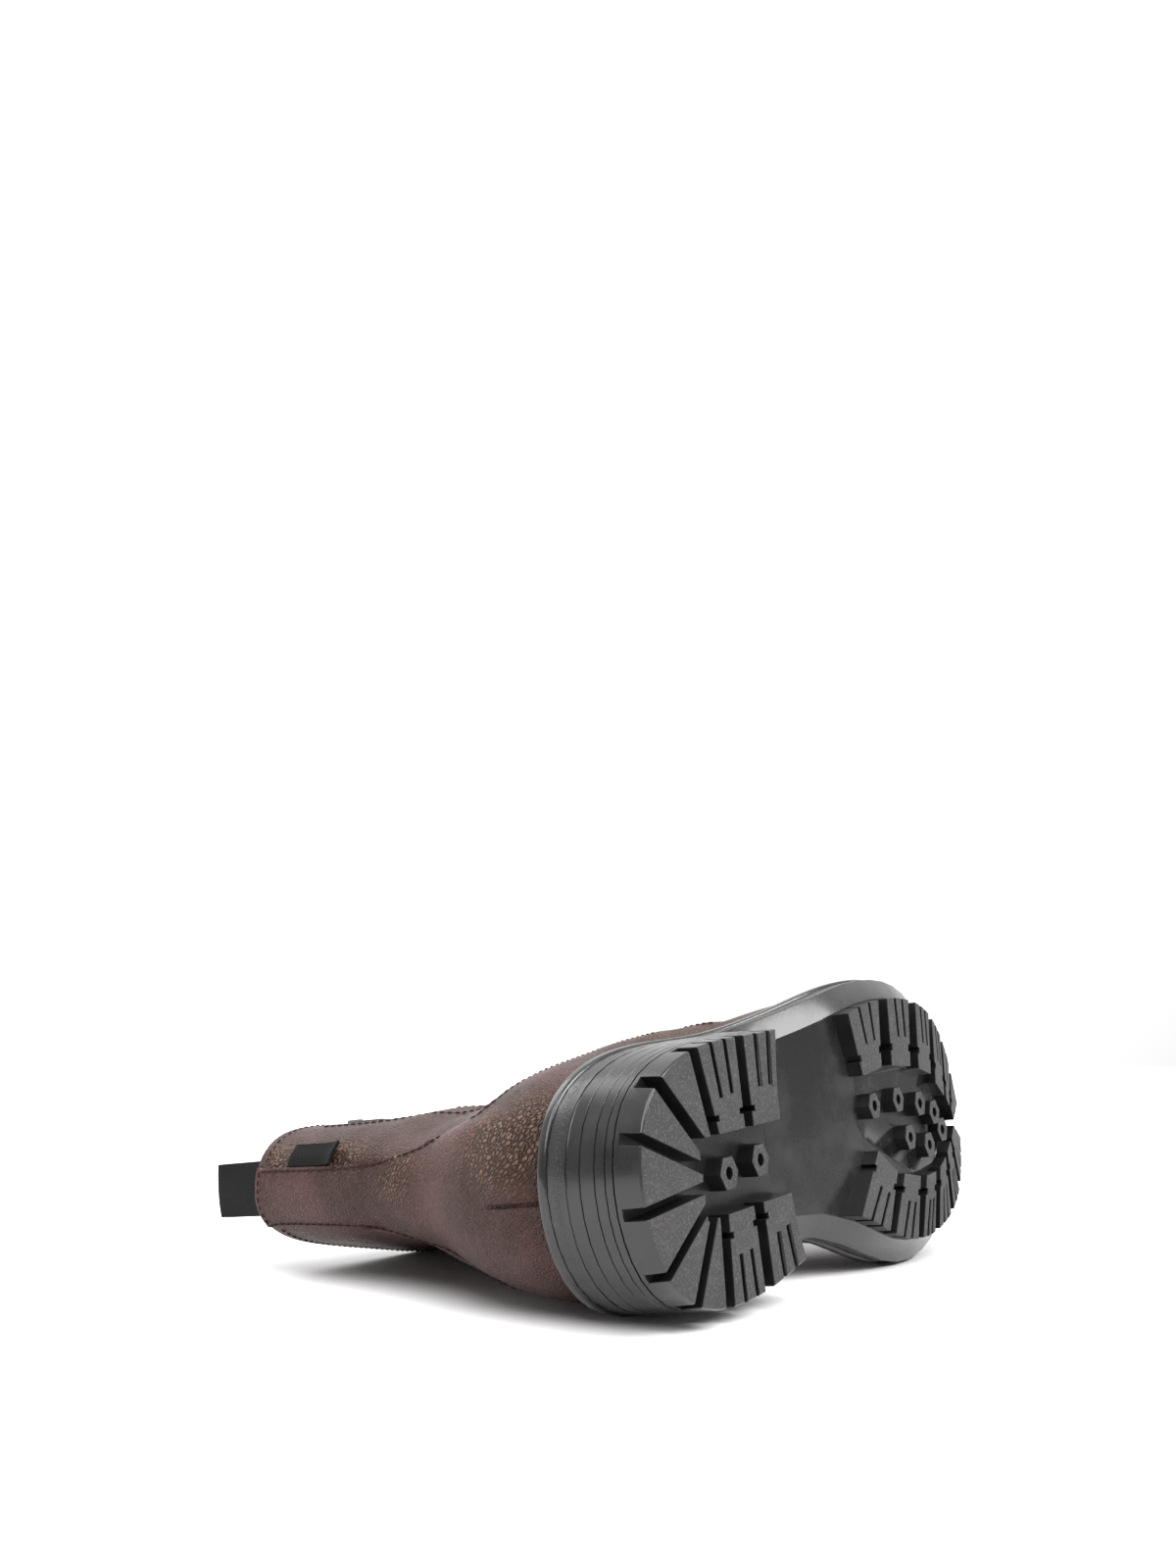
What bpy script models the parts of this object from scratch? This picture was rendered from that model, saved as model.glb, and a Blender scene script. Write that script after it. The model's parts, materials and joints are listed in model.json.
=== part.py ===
"""Right ankle boot with a side zip and a lugged sole, lying on its medial side.

The boot is modelled in its own frame in millimetres (x to the toe, y to the medial side, z up from
the tread) and is then laid down on the sole's medial edge and the shaft, with z up from the floor.
"""
import math
from collections import namedtuple

import bmesh
import bpy
import numpy as np
from mathutils import Matrix, Vector

MM = 0.001
NAME = "zip_boot"

# Driving sizes in millimetres
GAP = 0.3                 # clearance between pieces that touch
WALL = 2.2                # leather and lining of the upper
HEEL_BREAST = 93.0        # corners of the heel's front face, from the rear of its tread
HEEL_HOLLOW = 6.0         # how far that face is hollowed in its middle
HEEL_LIFT_TOP = 8.4       # thickness of the heel's tread piece
HEEL_SLOT_DEPTH = 7.0
HEEL_TOP = 22.8           # underside of the sole plate over the heel
HEEL_REAR_TAPER = 0.0466  # how far the heel draws in towards its tread
HEEL_SIDE_TAPER = 0.02
LUG_ROOT = 1.5            # how deep a lug or stud is rooted in the plate
LUG_BAND = 8.0            # bevelled rim outside the lugs
LUG_SHY = 0.2             # how far the lugs stay inside that rim
TOE_BAND = 5.5            # the same at the toe
TOE_BAND_START = 205.0
TOE_BAND_END = 285.0
BEVEL_RISE = 4.2
BEVEL_START = 88.0        # the bevel begins in front of the heel
BEVEL_FULL = 104.0
SEAT_DRAW = 0.5           # chamfer of the plate over the heel
SEAT_RISE = 0.4
EDGE_ROUND = 0.3          # rounding at the top of the bevel
DECK_DRAW = 0.2           # rounding under the welt
SIDE_GROOVE = 0.45        # share of the plate's side below its groove
SIDE_GROOVE_LIMIT = 0.2   # the groove's half width is at most this share of the side
DISH_DEPTH = 1.4
DISH_STEPS = 14           # outline steps on each side of the dish
DISH_FINE = 121
STUD_SHY = 1.0            # how far a stud stays short of the tread
STUD_HOLE_RADIUS = 2.0
STUD_HOLE_DEPTH = 3.0
WELT_HEIGHT = 3.5
WELT_CLEAR = 0.55         # from the upper, whose facets bow out at the waist
Lip = namedtuple("Lip", "draw share")
WELT_LIP = (Lip(0.2, 0.0), Lip(-0.5, 0.3), Lip(-0.5, 0.72), Lip(0.6, 1.0))
INSOLE_THICKNESS = 3.0
TOE_SWING = 5.0           # how far the toe's middle lies towards the medial side
TOE_SWING_START = 150.0
SHAFT_FULLNESS = 0.35     # flatness of the shaft's sides, 0 for an ellipse
BULGE = 4.2               # soft swell of the quarter over the lateral waist
BULGE_TURN = 0.39
BULGE_SPREAD = 0.08
BULGE_RING = 3.1
BULGE_RINGS = 1.3

MERGE = 0.02              # points closer than this are one

SOLE_STEPS = 34           # outline steps on each side of the sole
UPPER_STEPS = 23          # columns on each side of the upper
LEVELS_BELOW = 10         # levels of the upper below the zip's foot
LEVELS_ABOVE = 11
HEEL_STEPS = 14
BREAST_STEPS = 8
STUD_CORNERS = 12

# Where the lying boot may touch the floor, in its own frame
SOLE_HEIGHT = 34.0
BALL_START = 140.0
SHAFT_START = 70.0
LEVEL_ROUNDS = 40

Edge = namedtuple("Edge", "x lateral medial")
SOLE_EDGE = (
    Edge(-4.5, 0.0, 0.0),
    Edge(3.5, 23.0, 24.5),
    Edge(15.0, 31.5, 34.5),
    Edge(30.0, 36.5, 39.8),
    Edge(50.0, 39.0, 41.3),
    Edge(72.0, 39.5, 39.8),
    Edge(90.0, 39.8, 37.0),
    Edge(112.0, 42.0, 34.0),
    Edge(132.0, 45.5, 35.8),
    Edge(155.0, 50.2, 45.0),
    Edge(185.0, 54.0, 53.5),
    Edge(210.0, 54.0, 52.5),
    Edge(235.0, 49.5, 46.0),
    Edge(258.0, 40.0, 36.0),
    Edge(276.0, 28.0, 24.5),
    Edge(288.0, 14.2, 12.2),
    Edge(293.0, 0.0, 0.0),
)

TOE_SPRING_START = 195.0
Profile = namedtuple("Profile", "x tread base deck")
SOLE_PROFILE = (
    Profile(-6.0, 0.0, 22.8, 29.7),
    Profile(40.0, 0.0, 22.8, 29.7),
    Profile(78.0, 0.0, 22.4, 29.4),
    Profile(92.0, 0.0, 21.0, 28.5),
    Profile(110.0, 0.0, 17.2, 26.0),
    Profile(130.0, 0.0, 11.6, 22.0),
    Profile(150.0, 0.0, 6.3, 17.8),
    Profile(170.0, 0.0, 5.2, 15.2),
    Profile(195.0, 0.0, 5.0, 14.2),
    Profile(215.0, 0.6, 5.6, 14.6),
    Profile(235.0, 2.7, 7.7, 16.7),
    Profile(255.0, 6.7, 11.5, 20.1),
    Profile(275.0, 11.8, 16.5, 24.5),
    Profile(294.0, 17.2, 21.8, 29.5),
)

# Rings of the upper: heights are above the sole's deck, foot is the share of the sole's outline in
# the ring's plan, dip the share of the deck's curve; shift, lean and droop set the slack shaft's middle
Ring = namedtuple("Ring", "back_x back_h front_x front_h lateral medial foot dip shift lean droop")
UPPER_RINGS = (
    Ring(-1.0, 0.3, 287.0, 0.3, 47.5, 46.5, 1.00, 1.00, 0.0, 0.00, 0.0),
    Ring(-1.0, 4.6, 287.0, 4.6, 47.5, 46.5, 1.00, 1.00, 0.0, 0.00, 0.0),
    Ring(-3.6, 13.0, 289.0, 13.5, 49.0, 47.5, 1.00, 0.95, 0.0, 0.00, 0.0),
    Ring(-4.2, 21.0, 286.0, 23.0, 48.5, 46.0, 0.95, 0.85, 0.0, 0.00, 0.0),
    Ring(-3.6, 29.5, 276.0, 31.0, 45.0, 43.5, 0.87, 0.68, -0.1, 0.00, 0.0),
    Ring(-1.2, 39.0, 258.0, 35.5, 39.0, 39.6, 0.72, 0.45, -0.4, 0.00, 0.0),
    Ring(2.2, 49.5, 232.0, 39.0, 33.0, 34.4, 0.50, 0.28, -0.9, 0.01, 0.0),
    Ring(5.0, 60.5, 202.0, 45.0, 28.9, 29.0, 0.30, 0.13, -1.7, 0.03, 0.0),
    Ring(6.3, 72.0, 174.0, 55.0, 26.5, 25.3, 0.12, 0.05, -2.5, 0.05, 0.0002),
    Ring(6.3, 85.0, 148.0, 71.0, 25.6, 21.9, 0.00, 0.00, -3.0, 0.07, 0.0005),
    Ring(5.3, 99.0, 127.0, 89.5, 25.1, 19.9, 0.00, 0.00, -3.3, 0.09, 0.0009),
    Ring(4.0, 114.0, 112.5, 110.0, 24.9, 18.4, 0.00, 0.00, -3.5, 0.10, 0.0012),
    Ring(3.0, 130.5, 104.0, 132.0, 25.0, 18.0, 0.00, 0.00, -3.5, 0.105, 0.0013),
)
COLLAR = len(UPPER_RINGS) - 1.0

# Heel tread, in plan: slots that fan out from the hub, cross slots and short sipes
Slot = namedtuple("Slot", "x0 y0 x1 y1 width")
HEEL_SLOTS = (
    Slot(34.6, -47.0, 44.0, -9.0, 5.3),
    Slot(4.0, -39.7, 36.5, -7.3, 5.2),
    Slot(-12.0, -19.8, 34.0, -1.6, 3.5),
    Slot(-12.0, 7.0, 34.0, 4.1, 3.5),
    Slot(-8.0, 33.8, 34.5, 9.7, 3.2),
    Slot(14.4, 47.0, 38.6, 11.4, 4.0),
    Slot(39.4, 47.0, 43.5, 12.0, 5.1),
    Slot(66.9, -47.0, 65.8, -9.0, 5.6),
    Slot(65.7, 47.0, 65.3, 12.0, 6.2),
    Slot(46.7, -47.0, 50.5, -20.6, 2.0),
    Slot(56.5, -47.0, 57.5, -21.4, 2.0),
    Slot(78.3, -47.0, 76.7, -21.7, 2.0),
    Slot(88.2, -47.0, 83.9, -21.8, 2.0),
    Slot(49.4, 47.0, 50.3, 26.2, 2.0),
    Slot(57.5, 47.0, 57.0, 26.0, 2.0),
    Slot(77.2, 47.0, 76.1, 24.2, 2.0),
    Slot(87.0, 47.0, 83.0, 23.2, 2.0),
)
HEEL_NOTCHES = (
    Slot(42.0, -14.7, 47.6, -14.7, 1.8),
    Slot(61.0, -15.4, 71.0, -15.4, 1.8),
    Slot(42.0, 20.0, 47.4, 20.0, 1.8),
    Slot(60.2, 19.0, 70.6, 18.0, 1.8),
)
HEEL_CHANNEL = Slot(33.5, 1.9, 110.0, 1.9, 23.6)
HEEL_GROOVES = (11.0, 14.2, 18.7)
GROOVE_DEPTH = 0.45
GROOVE_HALF = 0.22

Stud = namedtuple("Stud", "x y radius")
HEEL_STUDS = (Stud(51.2, 2.3, 5.7), Stud(72.2, 1.1, 5.7))
FORE_STUDS = (
    Stud(166.0, -6.0, 5.3),
    Stud(189.0, -6.0, 5.3),
    Stud(211.0, -2.2, 5.3),
    Stud(228.0, 3.0, 5.3),
    Stud(195.5, 9.2, 5.3),
    Stud(215.0, 14.5, 5.3),
    Stud(237.0, 11.0, 5.3),
)

# Forefoot lugs: where each starts and ends on the rim, and its inner corners
Lug = namedtuple("Lug", "side rim_x0 rim_x1 x0 y0 x1 y1 sipes")
FORE_LUGS = (
    Lug(-1, 152.0, 181.5, 157.2, -17.7, 175.3, -19.3, 2),
    Lug(-1, 190.0, 212.5, 185.3, -19.4, 203.8, -17.5, 2),
    Lug(-1, 221.0, 239.5, 212.8, -16.0, 227.8, -12.4, 2),
    Lug(-1, 246.0, 261.0, 233.5, -8.5, 246.6, -1.9, 2),
    Lug(-1, 265.5, 277.5, 251.5, -0.5, 257.0, 3.3, 1),
    Lug(-1, 281.0, 287.6, 260.8, 5.2, 263.0, 9.9, 0),
    Lug(1, 139.5, 161.5, 161.4, 9.9, 176.0, 19.6, 2),
    Lug(1, 166.5, 186.0, 182.5, 21.2, 197.4, 24.3, 2),
    Lug(1, 191.0, 203.5, 204.0, 25.0, 215.0, 25.0, 2),
    Lug(1, 209.0, 226.0, 221.0, 24.3, 231.0, 21.5, 2),
    Lug(1, 231.5, 248.5, 235.5, 20.0, 245.0, 16.8, 2),
    Lug(1, 254.5, 279.0, 249.5, 15.8, 260.0, 11.8, 2),
)
SIPE_WIDTH = 2.0
SIPE_SHARE = 0.57         # how much of a lug's length its sipes cut
SIPE_SHIFT = 0.02         # towards the toe, in shares of the lug's width
SIPE_LEAN = 0.16
NOTCH_DEPTH = 1.8
NOTCH_FROM = 0.68
NOTCH_TO = 0.78

Dish = namedtuple("Dish", "x y radius")
FORE_DISH = (Dish(170.0, -4.5, 12.5), Dish(205.0, 3.3, 20.3), Dish(226.0, 4.5, 18.5))

# Back strip that widens into the counter: its edges as shares of the half ring, by ring
Strip = namedtuple("Strip", "ring lateral medial")
BACK_STRIP = (
    Strip(1.0, 0.47, 0.47),
    Strip(2.6, 0.46, 0.46),
    Strip(3.3, 0.40, 0.40),
    Strip(3.8, 0.26, 0.27),
    Strip(4.3, 0.17, 0.19),
    Strip(5.4, 0.142, 0.165),
    Strip(7.0, 0.112, 0.157),
    Strip(9.0, 0.078, 0.136),
    Strip(10.5, 0.077, 0.134),
    Strip(11.93, 0.084, 0.134),
)
STRIP_THICKNESS = 1.2
STRIP_FLARE_LOW = 2.75    # rings between which the strip turns into the counter's top edge
STRIP_FLARE_HIGH = 4.7
STRIP_FLARE_ROWS = 11
LIFT = 0.35               # clearance of an overlay that follows the upper

# Zip on the lateral side
ZIP_FOOT = 6.0            # ring where the zip ends
ZIP_TURN_FOOT = 0.335     # where the zip lies on the half ring, at its foot and at the collar
ZIP_TURN_COLLAR = 0.465
ZIP_SLOT = 6.4
ZIP_CHAIN = 5.0
ZIP_CHAIN_RISE = -0.5
ZIP_TAPE = 17.0
ZIP_TAPE_THICKNESS = 0.8
ZIP_ROWS = 14
ZIP_TAIL = 0.5            # rings by which the tape runs on below the chain's slot
ZIP_CHAIN_FOOT = 0.25
ZIP_COLLAR_SHY = 0.04
ZIP_FLAT = 0.1            # what stands of the chain on the tape's tail
ZIP_COLUMN = 8            # column of the upper that the zip takes
SLIDER_RING = 11.7
SLIDER_LENGTH = 9.0
SLIDER_WIDTH = 5.6
SLIDER_PLATE = 0.8
BAIL_LENGTH = 6.4
BAIL_WIDTH = 1.6
BAIL_BAR = 0.6
BAIL_HOLE = 1.1
BAIL_POST = 1.3
PULL_LENGTH = 16.0
PULL_WIDTH = 6.0
PULL_THICKNESS = 0.7
PULL_EYE = 3.6
PULL_EYE_WIDTH = 3.6
PULL_SLOPE = 0.5           # degrees by which the pull leans to the leather

# Webbing loop behind the collar and the folded tab in the strip's lateral seam
LOOP_WIDTH = 23.5
LOOP_RISE = 23.0
LOOP_SIDE = -1.5          # shift of the loop to the lateral side
LOOP_FLAT = 0.8           # how far the loop's end lies flat instead of following the collar's curve
LOOP_TUCK = 12.0
LOOP_THICKNESS = 1.1
LOOP_OPENING = 1.2
LOOP_COLUMNS = 8
LOOP_BEND_STEPS = 5
LOOP_SAMPLES = 81
TAB_RING_LOW = 9.9
TAB_RING_HIGH = 11.1
TAB_EDGE_GAP = 0.004
TAB_REACH = 0.075
TAB_THICKNESS = 1.3
TAB_ROWS = 5
TAB_COLUMNS = 4

Finish = namedtuple("Finish", "colour roughness metallic")
LEATHER = Finish((0.095, 0.062, 0.056), 0.55, 0.0)
RUBBER = Finish((0.028, 0.027, 0.029), 0.5, 0.0)
TREAD = Finish((0.045, 0.043, 0.044), 0.75, 0.0)
LINING = Finish((0.10, 0.085, 0.07), 0.9, 0.0)
WEBBING = Finish((0.012, 0.012, 0.013), 0.85, 0.0)
GUNMETAL = Finish((0.10, 0.10, 0.105), 0.35, 1.0)


class Spline:
    """Natural cubic through a few points."""

    def __init__(self, xs, ys):
        self.xs = np.asarray(xs, float)
        self.ys = np.asarray(ys, float)
        count = len(self.xs)
        step = np.diff(self.xs)
        rise = np.diff(self.ys) / step
        matrix = np.eye(count)
        right = np.zeros(count)
        for i in range(1, count - 1):
            matrix[i, i - 1:i + 2] = (step[i - 1], 2 * (step[i - 1] + step[i]), step[i])
            right[i] = 6 * (rise[i] - rise[i - 1])
        self.bend = np.linalg.solve(matrix, right)

    def __call__(self, x):
        x = np.asarray(x, float)
        i = np.clip(np.searchsorted(self.xs, x) - 1, 0, len(self.xs) - 2)
        step = self.xs[i + 1] - self.xs[i]
        a = (self.xs[i + 1] - x) / step
        b = (x - self.xs[i]) / step
        curve = (a ** 3 - a) * self.bend[i] + (b ** 3 - b) * self.bend[i + 1]
        return a * self.ys[i] + b * self.ys[i + 1] + curve * step ** 2 / 6


def column(rows, name):
    return [getattr(row, name) for row in rows]


def smooth(low, high, x):
    share = np.clip((np.asarray(x, float) - low) / (high - low), 0, 1)
    return share * share * (3 - 2 * share)


REAR = SOLE_EDGE[0].x
TOE = SOLE_EDGE[-1].x
HALF_MAX = max(column(SOLE_EDGE, "lateral"))


def turn_of(x):
    """Place on a half outline, 0 at the heel and 1 at the toe, even in angle so that ends are round."""
    return np.arccos(np.clip(1 - 2 * (np.asarray(x, float) - REAR) / (TOE - REAR), -1, 1)) / math.pi


EDGE_TURNS = turn_of(column(SOLE_EDGE, "x"))
HALF = {
    -1: Spline(EDGE_TURNS, column(SOLE_EDGE, "lateral")),
    1: Spline(EDGE_TURNS, column(SOLE_EDGE, "medial")),
}
PROFILE = {
    name: Spline(column(SOLE_PROFILE, "x"), column(SOLE_PROFILE, name))
    for name in ("tread", "base", "deck")
}
RING_INDEX = range(len(UPPER_RINGS))
RING = {name: Spline(RING_INDEX, column(UPPER_RINGS, name)) for name in Ring._fields}


def tread(x):
    return np.maximum(PROFILE["tread"](x), 0.0) * (np.asarray(x) > TOE_SPRING_START)


def base(x):
    return PROFILE["base"](x)


def deck(x):
    return PROFILE["deck"](x)


def swing(x):
    return TOE_SWING * smooth(TOE_SWING_START, TOE, x)


def half_outline(turns, side):
    """Plan of one side of the sole's edge."""
    x = REAR + (TOE - REAR) * (1 - np.cos(math.pi * turns)) / 2
    return np.column_stack((x, swing(x) + side * HALF[side](turns)))


def sole_outline(steps=SOLE_STEPS):
    """Closed plan: heel, lateral side, toe, medial side."""
    turns = np.linspace(0, 1, steps + 1)
    lateral = half_outline(turns, -1)
    medial = half_outline(turns[1:-1], 1)
    return np.vstack((lateral, medial[::-1]))


def inset(plan, amount):
    """Moves a closed plan inwards along its normals; a negative amount moves it out."""
    along = np.roll(plan, -1, axis=0) - np.roll(plan, 1, axis=0)
    along /= np.linalg.norm(along, axis=1)[:, None]
    inward = np.column_stack((-along[:, 1], along[:, 0]))
    return plan + inward * np.reshape(amount, (-1, 1))


def with_height(plan, z):
    return np.column_stack((plan, np.broadcast_to(z, len(plan))))


def upper_at(u, v, lift=0.0):
    """Points of the upper: u is 0 at the back, -1 and 1 at the front, negative on the lateral side."""
    step = 1e-3
    u = np.asarray(u, float)
    v = np.asarray(v, float)
    point = upper_surface(u, v)
    if not np.any(lift):
        return point
    across = upper_surface(u + step, v) - upper_surface(u - step, v)
    upward = upper_surface(u, v + step) - upper_surface(u, v - step)
    normal = np.cross(upward, across)
    normal /= np.linalg.norm(normal, axis=-1)[..., None]
    return point + normal * np.asarray(lift)[..., None]


def upper_surface(u, v):
    u, v = np.broadcast_arrays(np.where(u > 1, u - 2, np.where(u < -1, u + 2, u)), v)
    ring = {name: RING[name](v) for name in Ring._fields}
    turn = np.abs(u)
    share = (1 - np.cos(math.pi * turn)) / 2
    x = ring["back_x"] + (ring["front_x"] - ring["back_x"]) * share
    foot = np.where(u < 0, HALF[-1](turn), HALF[1](turn)) / HALF_MAX
    oval = np.sin(math.pi * turn) * (1 + SHAFT_FULLNESS * np.cos(math.pi * turn) ** 2)
    half = np.where(u < 0, ring["lateral"], ring["medial"])
    half = half * (ring["foot"] * foot + (1 - ring["foot"]) * oval)
    from_back = x - ring["back_x"]
    middle = swing(x) + ring["shift"] + ring["lean"] * from_back + ring["droop"] * from_back ** 2
    bulge = ((turn - BULGE_TURN) / BULGE_SPREAD) ** 2 + ((v - BULGE_RING) / BULGE_RINGS) ** 2
    half = half + np.where(u < 0, BULGE, 0.0) * np.exp(-bulge)
    first = UPPER_RINGS[0]
    place = (x - first.back_x) / (first.front_x - first.back_x)
    chord = deck(first.back_x) + (deck(first.front_x) - deck(first.back_x)) * place
    height = ring["back_h"] + (ring["front_h"] - ring["back_h"]) * share
    z = chord + height + ring["dip"] * (deck(x) - chord)
    return np.stack((x, middle + np.sign(u) * half, z), axis=-1)


def collection(name):
    group = bpy.data.collections.new(name)
    bpy.context.scene.collection.children.link(group)
    return group


def material(name, finish):
    made = bpy.data.materials.new(name)
    made.use_nodes = True
    shader = made.node_tree.nodes["Principled BSDF"]
    shader.inputs["Base Color"].default_value = (*finish.colour, 1.0)
    shader.inputs["Roughness"].default_value = finish.roughness
    shader.inputs["Metallic"].default_value = finish.metallic
    return made


def finish_object(name, bm, group, finish=None, recalculate=True):
    if recalculate:
        bmesh.ops.recalc_face_normals(bm, faces=bm.faces)
    mesh = bpy.data.meshes.new(name)
    bm.to_mesh(mesh)
    bm.free()
    obj = bpy.data.objects.new(name, mesh)
    group.objects.link(obj)
    if finish:
        mesh.materials.append(material(name, finish))
    return obj


def add_rings(bm, rings):
    """Vertices of each ring, given in millimetres."""
    return [[bm.verts.new(Vector(point) * MM) for point in ring] for ring in rings]


def skin_rings(bm, loops, closed=False):
    pairs = list(zip(loops, loops[1:]))
    if closed:
        pairs.append((loops[-1], loops[0]))
    for low, high in pairs:
        count = len(low)
        for i in range(count):
            j = (i + 1) % count
            bm.faces.new((low[i], low[j], high[j], high[i]))


def cap_across(bm, loop, front):
    """Fills a ring with strips from side to side, so that the cap follows the sole's curve.

    A hollow front's points are one face with the strip behind them.
    """
    count = len(loop)
    last = (count - 1 - front) // 2
    bm.faces.new((loop[0], loop[1], loop[-1]))
    for i in range(1, last):
        bm.faces.new((loop[i], loop[i + 1], loop[count - i - 1], loop[count - i]))
    end = loop[last:count - last + 1]
    if len(end) > 2:
        bm.faces.new(end)


def loft(rings, front=0):
    bm = bmesh.new()
    loops = add_rings(bm, rings)
    skin_rings(bm, loops)
    cap_across(bm, loops[0], front)
    cap_across(bm, loops[-1], front)
    return bm


def add_prism(bm, plan, low, high):
    """Upright prism over a simple plan; low and high are heights for each corner."""
    loops = add_rings(bm, (with_height(plan, low), with_height(plan, high)))
    skin_rings(bm, loops)
    bm.faces.new(loops[0])
    bm.faces.new(loops[1])


def slot_plan(slot):
    start = np.array((slot.x0, slot.y0))
    end = np.array((slot.x1, slot.y1))
    along = (end - start) / np.linalg.norm(end - start)
    side = np.array((-along[1], along[0])) * slot.width / 2
    return np.array((start - side, end - side, end + side, start + side))


def cut(obj, cutter, operation="DIFFERENCE"):
    cutter.hide_render = True
    cutter.display_type = "WIRE"
    modifier = obj.modifiers.new(cutter.name, "BOOLEAN")
    modifier.operation = operation
    modifier.object = cutter


def studs(studs_in, top, face):
    """Hexagonal studs with a blind hole; top and face are heights by x."""
    bm = bmesh.new()
    number = np.arange(STUD_CORNERS)
    angle = number * 2 * math.pi / STUD_CORNERS
    reach = np.where(number % 2 == 0, 1.0, math.cos(math.pi / 6))
    round_plan = np.column_stack((np.cos(angle), np.sin(angle)))
    for stud in studs_in:
        middle = np.array((stud.x, stud.y))
        hexagon = middle + round_plan * reach[:, None] * stud.radius
        hole = middle + round_plan * STUD_HOLE_RADIUS
        low = float(face(stud.x))
        rings = (
            with_height(hexagon, float(top(stud.x))),
            with_height(hexagon, low),
            with_height(hole, low),
            with_height(hole, low + STUD_HOLE_DEPTH),
        )
        loops = add_rings(bm, rings)
        skin_rings(bm, loops)
        bm.faces.new(loops[0])
        bm.faces.new(loops[-1])
    return bm


def band(x):
    """Width of the bevelled rim outside the lugs."""
    return LUG_BAND + (TOE_BAND - LUG_BAND) * smooth(TOE_BAND_START, TOE_BAND_END, x)


def lug_plan(lug, rim):
    """Comb-shaped lug: sipes from the rim and a notch in each flank."""
    start = np.array((lug.rim_x0, rim[lug.side](lug.rim_x0)))
    end = np.array((lug.rim_x1, rim[lug.side](lug.rim_x1)))
    inner_start = np.array((lug.x0, lug.y0))
    inner_end = np.array((lug.x1, lug.y1))
    width = np.linalg.norm(end - start)
    points = [start]
    for number in range(lug.sipes):
        middle = (number + 1) / (lug.sipes + 1) + SIPE_SHIFT
        reach = SIPE_WIDTH / 2 / width
        low = middle - reach
        high = middle + reach
        for share, depth in ((low, 0), (low, 1), (high, 1), (high, 0)):
            x = lug.rim_x0 + (lug.rim_x1 - lug.rim_x0) * share
            outer = np.array((x, rim[lug.side](x)))
            inner = inner_start + (inner_end - inner_start) * (share + SIPE_LEAN)
            points.append(outer + (inner - outer) * SIPE_SHARE * depth)
    points.append(end)
    points.extend(flank(end, inner_end, start - end))
    points.append(inner_end)
    points.append(inner_start)
    points.extend(reversed(flank(start, inner_start, end - start)))
    return np.array(points)


def flank(outer, inner, into):
    into = into / np.linalg.norm(into) * NOTCH_DEPTH
    low = outer + (inner - outer) * NOTCH_FROM
    high = outer + (inner - outer) * NOTCH_TO
    return [low, low + into, high + into, high]


def rim_line(side):
    """The lugs' outer line as y by x."""
    plan = inset(sole_outline(), band(sole_outline()[:, 0]) + LUG_SHY)
    middle = SOLE_STEPS
    half = plan[: middle + 1] if side < 0 else np.vstack((plan[middle:], plan[:1]))[::-1]
    half = half[np.argsort(half[:, 0])]
    return lambda x: float(np.interp(x, half[:, 0], half[:, 1]))


def dish_plan():
    """Pear-shaped plan, the line drawn tight round the dish's circles, with its points in pairs across."""
    discs = np.array(FORE_DISH)
    angle = np.linspace(math.pi, 0, DISH_FINE)
    turns = np.linspace(0, 1, DISH_STEPS + 1)
    sides = []
    for side in (-1, 1):
        ray = np.column_stack((np.cos(angle), side * np.sin(angle)))
        disc = discs[np.argmax(ray @ discs[:, :2].T + discs[:, 2], axis=1)]
        line = disc[:, :2] + ray * disc[:, 2:]
        x = line[0, 0] + (line[-1, 0] - line[0, 0]) * (1 - np.cos(math.pi * turns)) / 2
        sides.append(np.column_stack((x, np.interp(x, line[:, 0], line[:, 1]))))
    return np.vstack((sides[0], sides[1][-2:0:-1]))


def sole_plate(group, cutters):
    """Moulded sole from heel seat to toe, with bevelled rim, dish, lugs and studs."""
    plan = sole_outline()
    x = plan[:, 0]
    bare = smooth(BEVEL_START, BEVEL_FULL, x)
    width = SEAT_DRAW + (band(x) - SEAT_DRAW) * bare
    rise = SEAT_RISE + (BEVEL_RISE - SEAT_RISE) * bare
    low = base(x)
    high = deck(x)
    edge = low + rise
    step = edge + SIDE_GROOVE * (high - edge)
    groove = np.minimum(GROOVE_HALF, SIDE_GROOVE_LIMIT * (high - edge))
    rings = (
        with_height(inset(plan, width), low),
        with_height(inset(plan, EDGE_ROUND), edge),
        with_height(plan, edge + EDGE_ROUND * rise / BEVEL_RISE),
        with_height(plan, step - groove),
        with_height(inset(plan, GROOVE_DEPTH * bare), step),
        with_height(plan, step + groove),
        with_height(inset(plan, DECK_DRAW), high),
    )
    obj = finish_object("sole_plate", loft(rings), group, RUBBER)
    outline = dish_plan()
    level = base(outline[:, 0])
    bm = loft([with_height(outline, level + rise) for rise in (-DISH_DEPTH, DISH_DEPTH)])
    cut(obj, finish_object("dish_cutter", bm, cutters))
    rim = {side: rim_line(side) for side in (-1, 1)}
    bm = bmesh.new()
    for lug in FORE_LUGS:
        outline = lug_plan(lug, rim)
        add_prism(bm, outline, tread(outline[:, 0]), base(outline[:, 0]) + LUG_ROOT)
    cut(obj, finish_object("fore_lugs", bm, cutters), "UNION")
    root = DISH_DEPTH + LUG_ROOT
    bm = studs(FORE_STUDS, lambda at: base(at) + root, lambda at: tread(at) + STUD_SHY)
    cut(obj, finish_object("fore_studs", bm, cutters), "UNION")
    return obj


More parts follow.
